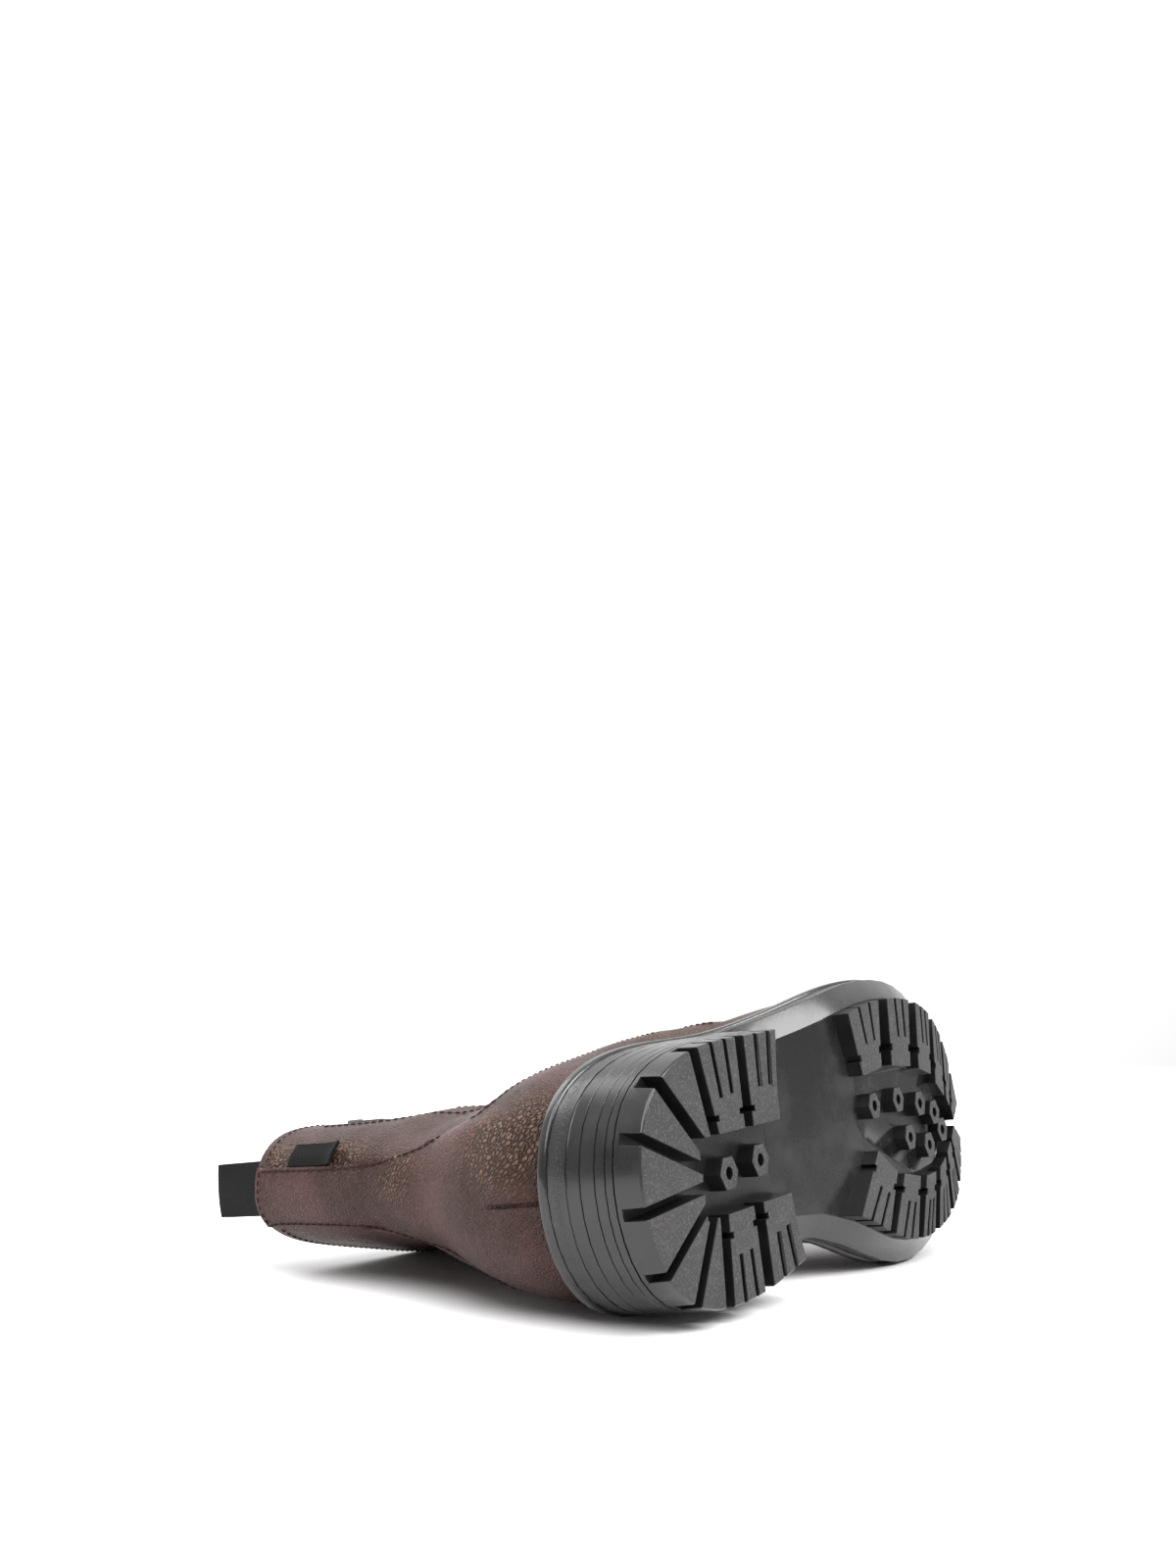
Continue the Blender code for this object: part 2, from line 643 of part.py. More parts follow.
def heel_plan(z):
    """Heel outline at a height, drawn in towards the tread."""
    last = float(turn_of(HEEL_BREAST))
    turns = np.linspace(0, last, HEEL_STEPS + 1)
    share = np.linspace(0, 1, BREAST_STEPS + 1)[1:-1, None]
    corner, other = half_outline(turns[-1:], -1), half_outline(turns[-1:], 1)
    front = corner + (other - corner) * share
    front[:, :1] -= HEEL_HOLLOW * 4 * share * (1 - share)
    plan = np.vstack((half_outline(turns, -1), front, half_outline(turns[1:], 1)[::-1]))
    drop = 1 - np.minimum(z, HEEL_TOP) / HEEL_TOP
    return np.column_stack((
        HEEL_BREAST - (HEEL_BREAST - plan[:, 0]) * (1 - HEEL_REAR_TAPER * drop),
        plan[:, 1] * (1 - HEEL_SIDE_TAPER * drop),
    ))


def heel_block(group):
    """Stacked heel with fine grooves round its side."""
    levels = [(HEEL_LIFT_TOP + GAP, 0.0)]
    for z in HEEL_GROOVES:
        levels += [(z - GROOVE_HALF, 0.0), (z, GROOVE_DEPTH), (z + GROOVE_HALF, 0.0)]
    rings = []
    for z, depth in levels:
        plan = heel_plan(z)
        around = inset(plan, depth)
        around[:, 0] = np.minimum(around[:, 0], HEEL_BREAST)
        rings.append(with_height(around, z))
    plan = heel_plan(HEEL_TOP)
    rings.append(with_height(plan, base(plan[:, 0]) - GAP))
    return finish_object("heel_block", loft(rings, BREAST_STEPS + 1), group, RUBBER)


def heel_lift(group, cutters):
    """Tread piece under the heel: a slab with fanned lugs, side lugs and two studs."""
    rings = [with_height(heel_plan(z), z) for z in (0.0, HEEL_LIFT_TOP)]
    obj = finish_object("heel_lift", loft(rings, BREAST_STEPS + 1), group, TREAD)
    for number, slot in enumerate((HEEL_CHANNEL, *HEEL_SLOTS, *HEEL_NOTCHES)):
        bm = bmesh.new()
        add_prism(bm, slot_plan(slot), -LUG_ROOT, HEEL_SLOT_DEPTH)
        cut(obj, finish_object(f"heel_slot_{number}", bm, cutters))
    middle = HEEL_LIFT_TOP - (HEEL_LIFT_TOP - HEEL_SLOT_DEPTH) / 2
    bm = studs(HEEL_STUDS, lambda at: middle, lambda at: STUD_SHY)
    cut(obj, finish_object("heel_studs", bm, cutters), "UNION")
    return obj


def foot_plan(lift):
    """The upper's plan where it meets the sole, moved out or in."""
    turns = np.linspace(0, 1, SOLE_STEPS + 1)
    around = np.concatenate((-turns, turns[-2:0:-1]))
    plan = upper_surface(around, np.zeros(len(around)))[:, :2]
    return inset(plan, -lift)


def welt(group):
    """Strip round the foot of the upper, with a rounded lip a little proud of the sole."""
    outer = sole_outline()
    inner = foot_plan(WELT_CLEAR)
    low = deck(outer[:, 0]) + GAP
    inner_low = deck(inner[:, 0]) + GAP
    rings = [with_height(inset(outer, lip.draw), low + WELT_HEIGHT * lip.share) for lip in WELT_LIP]
    rings.append(with_height(inner, inner_low + WELT_HEIGHT))
    rings.append(with_height(inner, inner_low))
    bm = bmesh.new()
    skin_rings(bm, add_rings(bm, rings), closed=True)
    return finish_object("welt", bm, group, RUBBER)


def insole(group):
    plan = foot_plan(-WALL - 2 * GAP)
    low = deck(plan[:, 0]) + GAP
    bm = loft((with_height(plan, low), with_height(plan, low + INSOLE_THICKNESS)))
    return finish_object("insole", bm, group, LINING)


def zip_turn(v):
    """Where the zip runs on a ring."""
    share = np.clip((np.asarray(v) - ZIP_FOOT) / (COLLAR - ZIP_FOOT), 0, 1)
    return ZIP_TURN_FOOT + (ZIP_TURN_COLLAR - ZIP_TURN_FOOT) * share


def zip_reach(width, v):
    """Half a width as a share of the ring at the zip."""
    span = RING["front_x"](v) - RING["back_x"](v)
    return width / (span * math.pi * np.sin(math.pi * zip_turn(v)))


def skin(name, group, finish, points, thickness, keep=None, wrap=False):
    """Sheet of leather or webbing: an open grid of points with Solidify."""
    bm = bmesh.new()
    rows, columns = points.shape[:2]
    grid = add_rings(bm, points)
    for i in range(rows - 1):
        for j in range(columns if wrap else columns - 1):
            k = (j + 1) % columns
            if keep is None or keep(i, j):
                bm.faces.new((grid[i][j], grid[i + 1][j], grid[i + 1][k], grid[i][k]))
    bmesh.ops.remove_doubles(bm, verts=bm.verts, dist=MERGE * MM)
    loose = [vert for vert in bm.verts if not vert.link_faces]
    bmesh.ops.delete(bm, geom=loose, context="VERTS")
    obj = finish_object(name, bm, group, finish, recalculate=False)
    modifier = obj.modifiers.new("thickness", "SOLIDIFY")
    modifier.thickness = abs(thickness) * MM
    modifier.offset = math.copysign(1.0, thickness)
    modifier.use_even_offset = True
    return obj


def upper_columns(v):
    """Places of the upper's columns on the lateral and the medial half of a ring."""
    turns = np.linspace(0, 1, UPPER_STEPS + 1)
    plain = (ZIP_COLUMN + 0.5) / UPPER_STEPS
    lateral = turns + (zip_turn(v) - plain) * np.sin(math.pi * turns) / math.sin(math.pi * plain)
    lateral[ZIP_COLUMN] = zip_turn(v) - zip_reach(ZIP_SLOT, v)
    lateral[ZIP_COLUMN + 1] = zip_turn(v) + zip_reach(ZIP_SLOT, v)
    return lateral, turns


def upper_levels():
    below = np.linspace(1.0, ZIP_FOOT, LEVELS_BELOW)
    above = np.linspace(ZIP_FOOT, COLLAR, LEVELS_ABOVE)
    return np.concatenate(([0.0], below, above[1:]))


def upper(group):
    """Hollow upper, open at the collar, underneath and along the zip."""
    levels = upper_levels()
    rows = []
    for v in levels:
        lateral, medial = upper_columns(v)
        rows.append(np.concatenate((medial, -lateral[-2:0:-1])))
    u = np.array(rows)
    v = np.repeat(levels[:, None], u.shape[1], axis=1)
    foot = int(np.argmin(np.abs(levels - ZIP_FOOT)))
    slot = 2 * UPPER_STEPS - ZIP_COLUMN - 1
    return skin(
        "upper", group, LEATHER, upper_surface(u, v), -WALL, wrap=True,
        keep=lambda i, j: not (j == slot and i >= foot),
    )


def on_facets(u, v, lift):
    """Points over the upper's own flat facets, at one height between its levels."""
    levels = upper_levels()
    i = int(np.clip(np.searchsorted(levels, v) - 1, 0, len(levels) - 2))
    share = (v - levels[i]) / (levels[i + 1] - levels[i])
    rows = []
    for level in levels[i:i + 2]:
        lateral, medial = upper_columns(level)
        around = np.concatenate((-lateral[:0:-1], medial))
        lifted = upper_at(around, np.full(len(around), level), np.full(len(around), lift))
        rows.append(np.column_stack((around, lifted)))
    places, *axes = (rows[0] + (rows[1] - rows[0]) * share).T
    return np.column_stack([np.interp(u, places, axis) for axis in axes])


def strip_edge(v, side):
    return Spline(column(BACK_STRIP, "ring"), column(BACK_STRIP, side))(v)


def back_strip(group):
    """Back strip and counter in one piece over the upper, on the upper's own columns."""
    low = BACK_STRIP[0].ring
    high = BACK_STRIP[-1].ring
    levels = upper_levels()
    flare = np.linspace(STRIP_FLARE_LOW, STRIP_FLARE_HIGH, STRIP_FLARE_ROWS)
    levels = np.concatenate((levels[(levels >= low) & (levels < high)], flare, [high]))
    levels = np.unique(levels)
    rows = []
    for v in levels:
        lateral, medial = upper_columns(v)
        lateral = np.minimum(lateral, strip_edge(v, "lateral"))
        medial = np.minimum(medial, strip_edge(v, "medial"))
        rows.append(on_facets(np.concatenate((-lateral[:0:-1], medial)), v, LIFT))
    return skin("back_strip", group, LEATHER, np.array(rows), STRIP_THICKNESS)


def side_tab(group):
    """Folded tab lying on the lateral side, its root in the strip's seam."""
    reach = np.linspace(TAB_REACH, 0, TAB_COLUMNS)
    rows = []
    for v in np.linspace(TAB_RING_LOW, TAB_RING_HIGH, TAB_ROWS):
        start = strip_edge(v, "lateral") + TAB_EDGE_GAP
        rows.append(on_facets(-(start + reach), v, LIFT))
    return skin("side_tab", group, WEBBING, np.array(rows), TAB_THICKNESS)


def zip_tape(group):
    """Tape behind the slot with the closed chain standing in it."""
    levels = np.linspace(ZIP_FOOT - ZIP_TAIL, COLLAR - ZIP_COLLAR_SHY, ZIP_ROWS)
    inner = -WALL - LIFT - ZIP_TAPE_THICKNESS
    outer = -WALL - LIFT
    section = (
        (-ZIP_TAPE, inner), (-ZIP_CHAIN, inner), (ZIP_CHAIN, inner), (ZIP_TAPE, inner),
        (ZIP_TAPE, outer), (ZIP_CHAIN, outer), (ZIP_CHAIN, ZIP_CHAIN_RISE),
        (-ZIP_CHAIN, ZIP_CHAIN_RISE), (-ZIP_CHAIN, outer), (-ZIP_TAPE, outer),
    )
    chain_foot = ZIP_FOOT + ZIP_CHAIN_FOOT
    rings = []
    for v in levels:
        ring = []
        for width, lift in section:
            turn = zip_turn(v) + zip_reach(width, v)
            height = lift if v > chain_foot or lift <= outer else outer + ZIP_FLAT
            ring.append(upper_at(-turn, v, height))
        rings.append(np.array(ring))
    bm = bmesh.new()
    loops = add_rings(bm, rings)
    skin_rings(bm, loops)
    for loop in (loops[0], loops[-1]):
        bm.faces.new((loop[0], loop[1], loop[8], loop[9]))
        bm.faces.new((loop[1], loop[2], loop[5], loop[6], loop[7], loop[8]))
        bm.faces.new((loop[2], loop[3], loop[4], loop[5]))
    return finish_object("zip_tape", bm, group, WEBBING)


def zip_frame():
    """Frame at the slider: x across the zip, y up along it, z out of the leather."""
    step = 0.01
    turn = float(zip_turn(SLIDER_RING))
    origin = Vector(upper_at(-turn, SLIDER_RING, ZIP_CHAIN_RISE + GAP))
    out = Vector(upper_at(-turn, SLIDER_RING, ZIP_CHAIN_RISE + GAP + 1.0)) - origin
    above = upper_at(-zip_turn(SLIDER_RING + step), SLIDER_RING + step)
    below = upper_at(-zip_turn(SLIDER_RING - step), SLIDER_RING - step)
    along = Vector(above - below).normalized()
    across = along.cross(out).normalized()
    frame = Matrix((across, along, across.cross(along))).transposed().to_4x4()
    frame.translation = origin * MM
    return frame


def add_box(bm, low, high):
    size = Vector(high) - Vector(low)
    made = bmesh.ops.create_cube(bm, size=1.0)["verts"]
    bmesh.ops.scale(bm, vec=size * MM, verts=made)
    bmesh.ops.translate(bm, vec=(Vector(low) + size / 2) * MM, verts=made)


def box_object(name, low, high, group, finish=None):
    bm = bmesh.new()
    add_box(bm, low, high)
    return finish_object(name, bm, group, finish)


def zip_slider(group, cutters, frame):
    """Slider plate with a bail that holds the pull."""
    half = SLIDER_WIDTH / 2
    length = SLIDER_LENGTH / 2
    arch = BAIL_WIDTH / 2
    reach = BAIL_LENGTH / 2
    hole = reach - BAIL_POST
    hole_top = SLIDER_PLATE + BAIL_HOLE
    top = hole_top + BAIL_BAR
    obj = box_object("zip_slider", (-half, -length, 0), (half, length, SLIDER_PLATE), group, GUNMETAL)
    bail = box_object("bail", (-arch, -reach, SLIDER_PLATE / 2), (arch, reach, top), cutters)
    opening = box_object("bail_hole", (-half, -hole, SLIDER_PLATE), (half, hole, hole_top), cutters)
    cut(obj, bail, "UNION")
    cut(obj, opening)
    for piece in (obj, bail, opening):
        piece.data.transform(frame)
    return obj


def zip_pull(group, cutters, frame):
    """Flat pull whose crossbar turns under the bail; its object origin is on that axis."""
    half = PULL_WIDTH / 2
    thick = PULL_THICKNESS / 2
    obj = box_object("zip_pull", (-half, -PULL_LENGTH, -thick), (half, thick, thick), group, GUNMETAL)
    side = PULL_EYE_WIDTH / 2
    eye = box_object("pull_eye", (-side, -thick - PULL_EYE, -half), (side, -thick, half), cutters)
    cut(obj, eye)
    axis = Matrix.Translation((0, 0, (SLIDER_PLATE + BAIL_HOLE / 2) * MM))
    slope = Matrix.Rotation(math.radians(PULL_SLOPE), 4, "X")
    for piece in (obj, eye):
        piece.matrix_world = frame @ axis @ slope
    return obj


def pull_loop(group):
    """Webbing folded to a loop, both legs tucked in behind the collar."""
    bend = LOOP_OPENING / 2 + LOOP_THICKNESS / 2
    near = -WALL - LIFT - LOOP_THICKNESS / 2
    path = [(near, -LOOP_TUCK), (near, -LOOP_TUCK / 2), (near, 0.0), (near, LOOP_RISE / 2)]
    for i in range(LOOP_BEND_STEPS + 1):
        angle = math.pi * i / LOOP_BEND_STEPS
        depth = near - bend + bend * math.cos(angle)
        path.append((depth, LOOP_RISE - bend + bend * math.sin(angle)))
    far = near - 2 * bend
    path += [(far, LOOP_RISE / 2), (far, 0.0), (far, -LOOP_TUCK / 2), (far, -LOOP_TUCK)]
    spread = np.linspace(-1, 1, LOOP_COLUMNS + 1) * LOOP_WIDTH / 2 + LOOP_SIDE
    turns = np.linspace(-0.5, 0.5, LOOP_SAMPLES)
    around = upper_surface(turns, np.full(len(turns), COLLAR))
    across = np.linalg.norm(around - upper_surface(0.0, COLLAR), axis=1) * np.sign(turns)
    places = np.interp(spread, across, turns)
    rise_per_ring = float(upper_at(0.0, COLLAR)[2] - upper_at(0.0, COLLAR - 1)[2])
    bm = bmesh.new()
    grid = []
    for lift, height in path:
        v = COLLAR + min(height, 0.0) / rise_per_ring
        row = upper_at(places, np.full(len(places), v), np.full(len(places), lift))
        row[:, 2] += max(height, 0.0)
        row[:, 0] += (row[:, 0].mean() - row[:, 0]) * LOOP_FLAT * max(height, 0.0) / LOOP_RISE
        grid.append(row)
    loops = add_rings(bm, grid)
    for low, high in zip(loops, loops[1:]):
        for i in range(LOOP_COLUMNS):
            bm.faces.new((low[i], low[i + 1], high[i + 1], high[i]))
    obj = finish_object("pull_loop", bm, group, WEBBING)
    modifier = obj.modifiers.new("thickness", "SOLIDIFY")
    modifier.thickness = LOOP_THICKNESS * MM
    modifier.offset = 0.0
    modifier.use_even_offset = True
    return obj


def evaluated_points(objects):
    """World vertices of each object with its modifiers, in millimetres."""
    graph = bpy.context.evaluated_depsgraph_get()
    found = []
    for obj in objects:
        mesh = obj.evaluated_get(graph).to_mesh()
        flat = np.empty(len(mesh.vertices) * 3)
        mesh.vertices.foreach_get("co", flat)
        turned = flat.reshape(-1, 3) @ np.array(obj.matrix_world.to_3x3()).T
        found.append(turned + obj.matrix_world.translation)
    return np.vstack(found) / MM


def floor_slopes(points):
    """Slopes in x and z of the plane that touches heel, ball and shaft on the medial side."""
    x, y, z = points.T
    low = z < SOLE_HEIGHT
    spots = (low & (x < HEEL_BREAST), low & (x > BALL_START), z > SHAFT_START)
    slope = np.zeros(2)
    for _ in range(LEVEL_ROUNDS):
        rows = []
        for spot in spots:
            gap = y[spot] - slope[0] * x[spot] - slope[1] * z[spot]
            touch = np.argmax(gap)
            rows.append((1.0, x[spot][touch], z[spot][touch], y[spot][touch]))
        rows = np.array(rows)
        slope = slope + 0.5 * (np.linalg.solve(rows[:, :3], rows[:, 3])[1:] - slope)
    return slope


def lay_down(objects):
    """Parents every piece to an empty that lays the boot on its medial side, over the origin."""
    slope_x, slope_z = floor_slopes(evaluated_points(objects))
    on_side = Matrix.Rotation(-math.pi / 2, 4, "X")
    level = Vector((slope_x, slope_z, 1.0)).rotation_difference(Vector((0, 0, 1))).to_matrix().to_4x4()
    pose = level @ on_side
    points = evaluated_points(objects) @ np.array(pose.to_3x3()).T
    low = points.min(axis=0)
    high = points.max(axis=0)
    rest = bpy.data.objects.new("lying", None)
    bpy.context.scene.collection.objects.link(rest)
    pose.translation = -Vector(((low[0] + high[0]) / 2, (low[1] + high[1]) / 2, low[2])) * MM
    rest.matrix_world = pose
    for obj in bpy.data.objects:
        if obj is not rest:
            obj.parent = rest


def build():
    for obj in list(bpy.data.objects):
        bpy.data.objects.remove(obj)
    group = collection(NAME)
    cutters = collection("cutters")
    frame = zip_frame()
    pieces = [
        sole_plate(group, cutters),
        heel_block(group),
        heel_lift(group, cutters),
        welt(group),
        insole(group),
        upper(group),
        back_strip(group),
        side_tab(group),
        pull_loop(group),
        zip_tape(group),
        zip_slider(group, cutters, frame),
        zip_pull(group, cutters, frame),
    ]
    bpy.context.view_layer.update()
    lay_down(pieces)


build()
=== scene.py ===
"""Looks of a right zip boot that lies on its medial side: leather, rubber sole, zip, webbing, stitches."""
import json
import math
from collections import namedtuple

import bmesh
import bpy
import numpy as np
from mathutils import Matrix, Vector
from mathutils.bvhtree import BVHTree
from mathutils.geometry import convex_hull_2d


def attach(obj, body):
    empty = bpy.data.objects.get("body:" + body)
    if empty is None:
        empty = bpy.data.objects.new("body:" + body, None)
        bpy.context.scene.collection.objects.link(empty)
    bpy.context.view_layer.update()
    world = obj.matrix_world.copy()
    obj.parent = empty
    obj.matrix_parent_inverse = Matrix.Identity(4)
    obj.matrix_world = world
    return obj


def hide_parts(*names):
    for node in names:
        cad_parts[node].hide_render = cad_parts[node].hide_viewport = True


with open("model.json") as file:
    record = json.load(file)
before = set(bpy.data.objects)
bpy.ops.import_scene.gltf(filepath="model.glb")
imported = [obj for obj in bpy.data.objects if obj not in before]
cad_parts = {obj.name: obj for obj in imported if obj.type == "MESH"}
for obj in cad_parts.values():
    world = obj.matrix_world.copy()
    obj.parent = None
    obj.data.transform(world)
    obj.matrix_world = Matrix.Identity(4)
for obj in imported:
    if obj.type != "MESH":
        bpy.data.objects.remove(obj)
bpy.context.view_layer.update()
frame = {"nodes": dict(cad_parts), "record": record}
NODES = frame["nodes"]
MM = 0.001
WELD = 1e-6

# The boot's own frame: x to the toe, y to the medial side, z up from the tread, in millimetres
HEEL_SPOT = Vector((27.0, -28.0, 0.0))
BALL_SPOT = Vector((167.0, -22.0, 0.0))


def boot_frame():
    """From the boot's own millimetres to the lying boot, by the two flat spots of the tread."""
    spots = {mount["name"]: mount for mount in frame["record"]["mounts"]}
    heel = Vector(spots["heel_tread"]["pos_m"])
    ball = Vector(spots["ball_tread"]["pos_m"])
    up = -Vector(spots["heel_tread"]["axis"]).normalized()
    along = (ball - heel).normalized()
    plan = (BALL_SPOT - HEEL_SPOT).normalized()
    toe = along * plan.x - up.cross(along) * plan.y
    turn = Matrix((toe, up.cross(toe), up)).transposed().to_4x4()
    turn.translation = heel - turn @ HEEL_SPOT * MM
    return turn


BOOT = boot_frame()
AXES = np.array(BOOT.to_3x3())
ORIGIN = np.array(BOOT.translation)


def in_boot(points):
    return (np.asarray(points) - ORIGIN) @ AXES / MM


def from_boot(point):
    return BOOT @ (Vector(point) * MM)


# Shader maths

class Wire:
    """A shader value: arithmetic on it adds Math nodes."""

    def __init__(self, shade, socket):
        self.shade = shade
        self.socket = socket

    def math(self, operation, *values):
        return self.shade.node("ShaderNodeMath", {"operation": operation}, dict(enumerate(values)))

    def __add__(self, other):
        return self.math("ADD", self, other)

    def __sub__(self, other):
        return self.math("SUBTRACT", self, other)

    def __rsub__(self, other):
        return self.math("SUBTRACT", other, self)

    def __mul__(self, other):
        return self.math("MULTIPLY", self, other)

    __radd__ = __add__
    __rmul__ = __mul__


class Shade:
    """A shader of a material or of the world, and the nodes that feed it."""

    def __init__(self, holder, surface, **fixed):
        holder.use_nodes = True
        self.holder = holder
        self.tree = holder.node_tree
        self.surface = self.tree.nodes[surface]
        for socket, value in fixed.items():
            self.feed(socket.replace("_", " ").title().replace("Ior", "IOR"), value)

    def node(self, kind, settings, sockets, out=0):
        made = self.tree.nodes.new(kind)
        for key, value in settings.items():
            setattr(made, key, value)
        for key, value in sockets.items():
            self.join(made.inputs[key], value)
        return Wire(self, made.outputs[out])

    def join(self, socket, value):
        if isinstance(value, Wire):
            self.tree.links.new(value.socket, socket)
        else:
            socket.default_value = value

    def feed(self, socket, value):
        self.join(self.surface.inputs[socket], value)

    def place(self):
        return self.node("ShaderNodeTexCoord", {}, {}, "Object")

    def attribute(self, name):
        return self.node("ShaderNodeAttribute", {"attribute_name": name}, {}, "Fac")

    def noise(self, place, scale, detail=2.0, roughness=0.5, out="Fac"):
        sockets = {"Vector": place, "Scale": scale, "Detail": detail, "Roughness": roughness}
        return self.node("ShaderNodeTexNoise", {}, sockets, out)

    def cells(self, place, scale, feature="DISTANCE_TO_EDGE"):
        sockets = {"Vector": place, "Scale": scale}
        return self.node("ShaderNodeTexVoronoi", {"feature": feature}, sockets, "Distance")

    def shifted(self, place, by, amount):
        """Place moved by a noise colour, so that a pattern wanders."""
        centred = self.node("ShaderNodeVectorMath", {"operation": "SUBTRACT"}, {0: by, 1: (0.5, 0.5, 0.5)})
        scaled = self.node("ShaderNodeVectorMath", {"operation": "SCALE"}, {0: centred, "Scale": amount})
        return self.node("ShaderNodeVectorMath", {"operation": "ADD"}, {0: place, 1: scaled})

    def along(self, place, direction):
        """Distance along a direction, in metres."""
        sockets = {0: place, 1: tuple(direction)}
        return self.node("ShaderNodeVectorMath", {"operation": "DOT_PRODUCT"}, sockets, "Value")

    def drawn(self, place, direction, share):
        """Place squeezed along a direction by a share, so that a pattern is drawn out along it."""
        way = tuple(direction)
        back = self.node("ShaderNodeVectorMath", {"operation": "SCALE"},
                         {0: way, "Scale": self.along(place, way) * -share})
        return self.node("ShaderNodeVectorMath", {"operation": "ADD"}, {0: place, 1: back})

    def stretched(self, place, scale):
        return self.node("ShaderNodeVectorMath", {"operation": "MULTIPLY"}, {0: place, 1: scale})

    def ease(self, value, low, high, start=0.0, end=1.0):
        sockets = {"Value": value, "From Min": low, "From Max": high, "To Min": start, "To Max": end}
        return self.node("ShaderNodeMapRange", {"interpolation_type": "SMOOTHSTEP"}, sockets)

    def mix(self, share, first, second):
        sockets = {0: share, 6: self.colour(first), 7: self.colour(second)}
        return self.node("ShaderNodeMix", {"data_type": "RGBA"}, sockets, 2)

    def colour(self, value):
        return value if isinstance(value, Wire) else (*value, 1.0)

    def relief(self, height, distance, strength=1.0):
        sockets = {"Height": height, "Distance": distance, "Strength": strength}
        self.feed("Normal", self.node("ShaderNodeBump", {}, sockets))


def finish(name, **fixed):
    return Shade(bpy.data.materials.new(name), "Principled BSDF", **fixed)


UMBER = (0.036, 0.0130, 0.0110)
MAUVE = (0.090, 0.0390, 0.0370)
# Golden rub on the pebble tops, with a painted glint
RUB_AND_GLINT = (0.30, 0.195, 0.140)
# Colour of the painted highlight, laid on from the pale attribute
PAINTED_HIGHLIGHT = (0.170, 0.088, 0.083)
# Colour of the painted shade, laid on from the dark attribute
PAINTED_SHADE = (0.026, 0.0095, 0.0085)
# Colour of the painted shade in the creases of the grain
CREASE_SHADE = (0.012, 0.005, 0.0045)
# Painted shade in the groove of the back seam
GROOVE_SHADE = (0.006, 0.003, 0.003)
# The grain is drawn out along this way of the boot
LIE = (0.30, -0.68, -0.67)


def leather():
    """Pebbled pull-up leather, coarse where the grain attribute says so: pebble tops rubbed golden with a
    painted glint, creases painted with shade.
    """
    shade = finish("pebbled_leather", specular_ior_level=0.4, specular_tint=(1.0, 0.8, 0.7, 1.0),
                   coat_weight=0.08, coat_roughness=0.24)
    place = shade.place()
    grain = shade.attribute("grain")
    wander = shade.noise(place, 240.0, 2.0, out="Color")
    lying = shade.drawn(shade.shifted(place, wander, 0.0022), AXES @ LIE, 0.42)
    edge = shade.cells(lying, 860.0)
    pebble = shade.ease(edge, 0.0, 0.22)
    small = shade.ease(shade.cells(shade.shifted(place, wander, 0.0030), 900.0), 0.0, 0.40)
    pores = shade.noise(place, 1500.0, 4.0, 0.65)
    cloud = shade.noise(place, 38.0, 3.0, 0.6)
    patch = shade.noise(place, 95.0, 3.0, 0.6)
    fine = 0.42 - grain * 0.3
    coarse = (pebble * 0.8 + shade.ease(edge, 0.0, 0.45) * 1.4) * grain
    shade.relief(coarse + small * fine + pores * 0.3, 0.0011, 0.95)
    body = shade.mix(shade.ease(cloud, 0.34, 0.68), UMBER, MAUVE)
    # pebble tops: the leather's golden rub together with a painted glint
    tops = shade.ease(pebble, 0.25, 0.9) * shade.ease(patch, 0.1, 0.5) * shade.ease(grain, 0.2, 0.75)
    # painted highlights on ridges and painted shade in hollows
    body = shade.mix(shade.attribute("pale"), body, PAINTED_HIGHLIGHT)
    body = shade.mix(shade.attribute("dark"), body, PAINTED_SHADE)
    body = shade.mix(tops * 0.5, body, RUB_AND_GLINT)
    # painted shade in the creases between the pebbles and in the fine grain
    body = shade.mix((1.0 - pebble) * grain * 0.8 + (1.0 - small) * fine, body, CREASE_SHADE)
    # painted shade in the groove of the back seam
    body = shade.mix(shade.attribute("seam"), body, GROOVE_SHADE)
    shade.feed("Base Color", body)
    shade.feed("Metallic", tops * 0.5 + 0.15)
    shade.feed("Roughness", shade.ease(patch, 0.3, 0.7, 0.32, 0.44) - tops * 0.05)
    return shade.holder


def cut_edge():
    """Raw edge of a leather sheet."""
    shade = finish("cut_edge", specular_ior_level=0.3)
    place = shade.place()
    fibres = shade.noise(place, 1800.0, 3.0, 0.6)
    shade.relief(fibres, 0.0003, 0.5)
    shade.feed("Base Color", shade.mix(fibres, (0.060, 0.027, 0.024), (0.140, 0.075, 0.068)))
    shade.feed("Roughness", fibres * 0.15 + 0.6)
    return shade.holder


def lining():
    """Short-napped textile inside the shaft."""
    shade = finish("lining", sheen_weight=0.3)
    place = shade.place()
    fibres = shade.noise(place, 1500.0, 3.0)
    shade.relief(fibres, 0.0003, 0.5)
    cloud = shade.noise(place, 60.0)
    shade.feed("Base Color", shade.mix(cloud, (0.055, 0.042, 0.036), (0.085, 0.066, 0.056)))
    shade.feed("Roughness", fibres * 0.1 + 0.85)
    return shade.holder


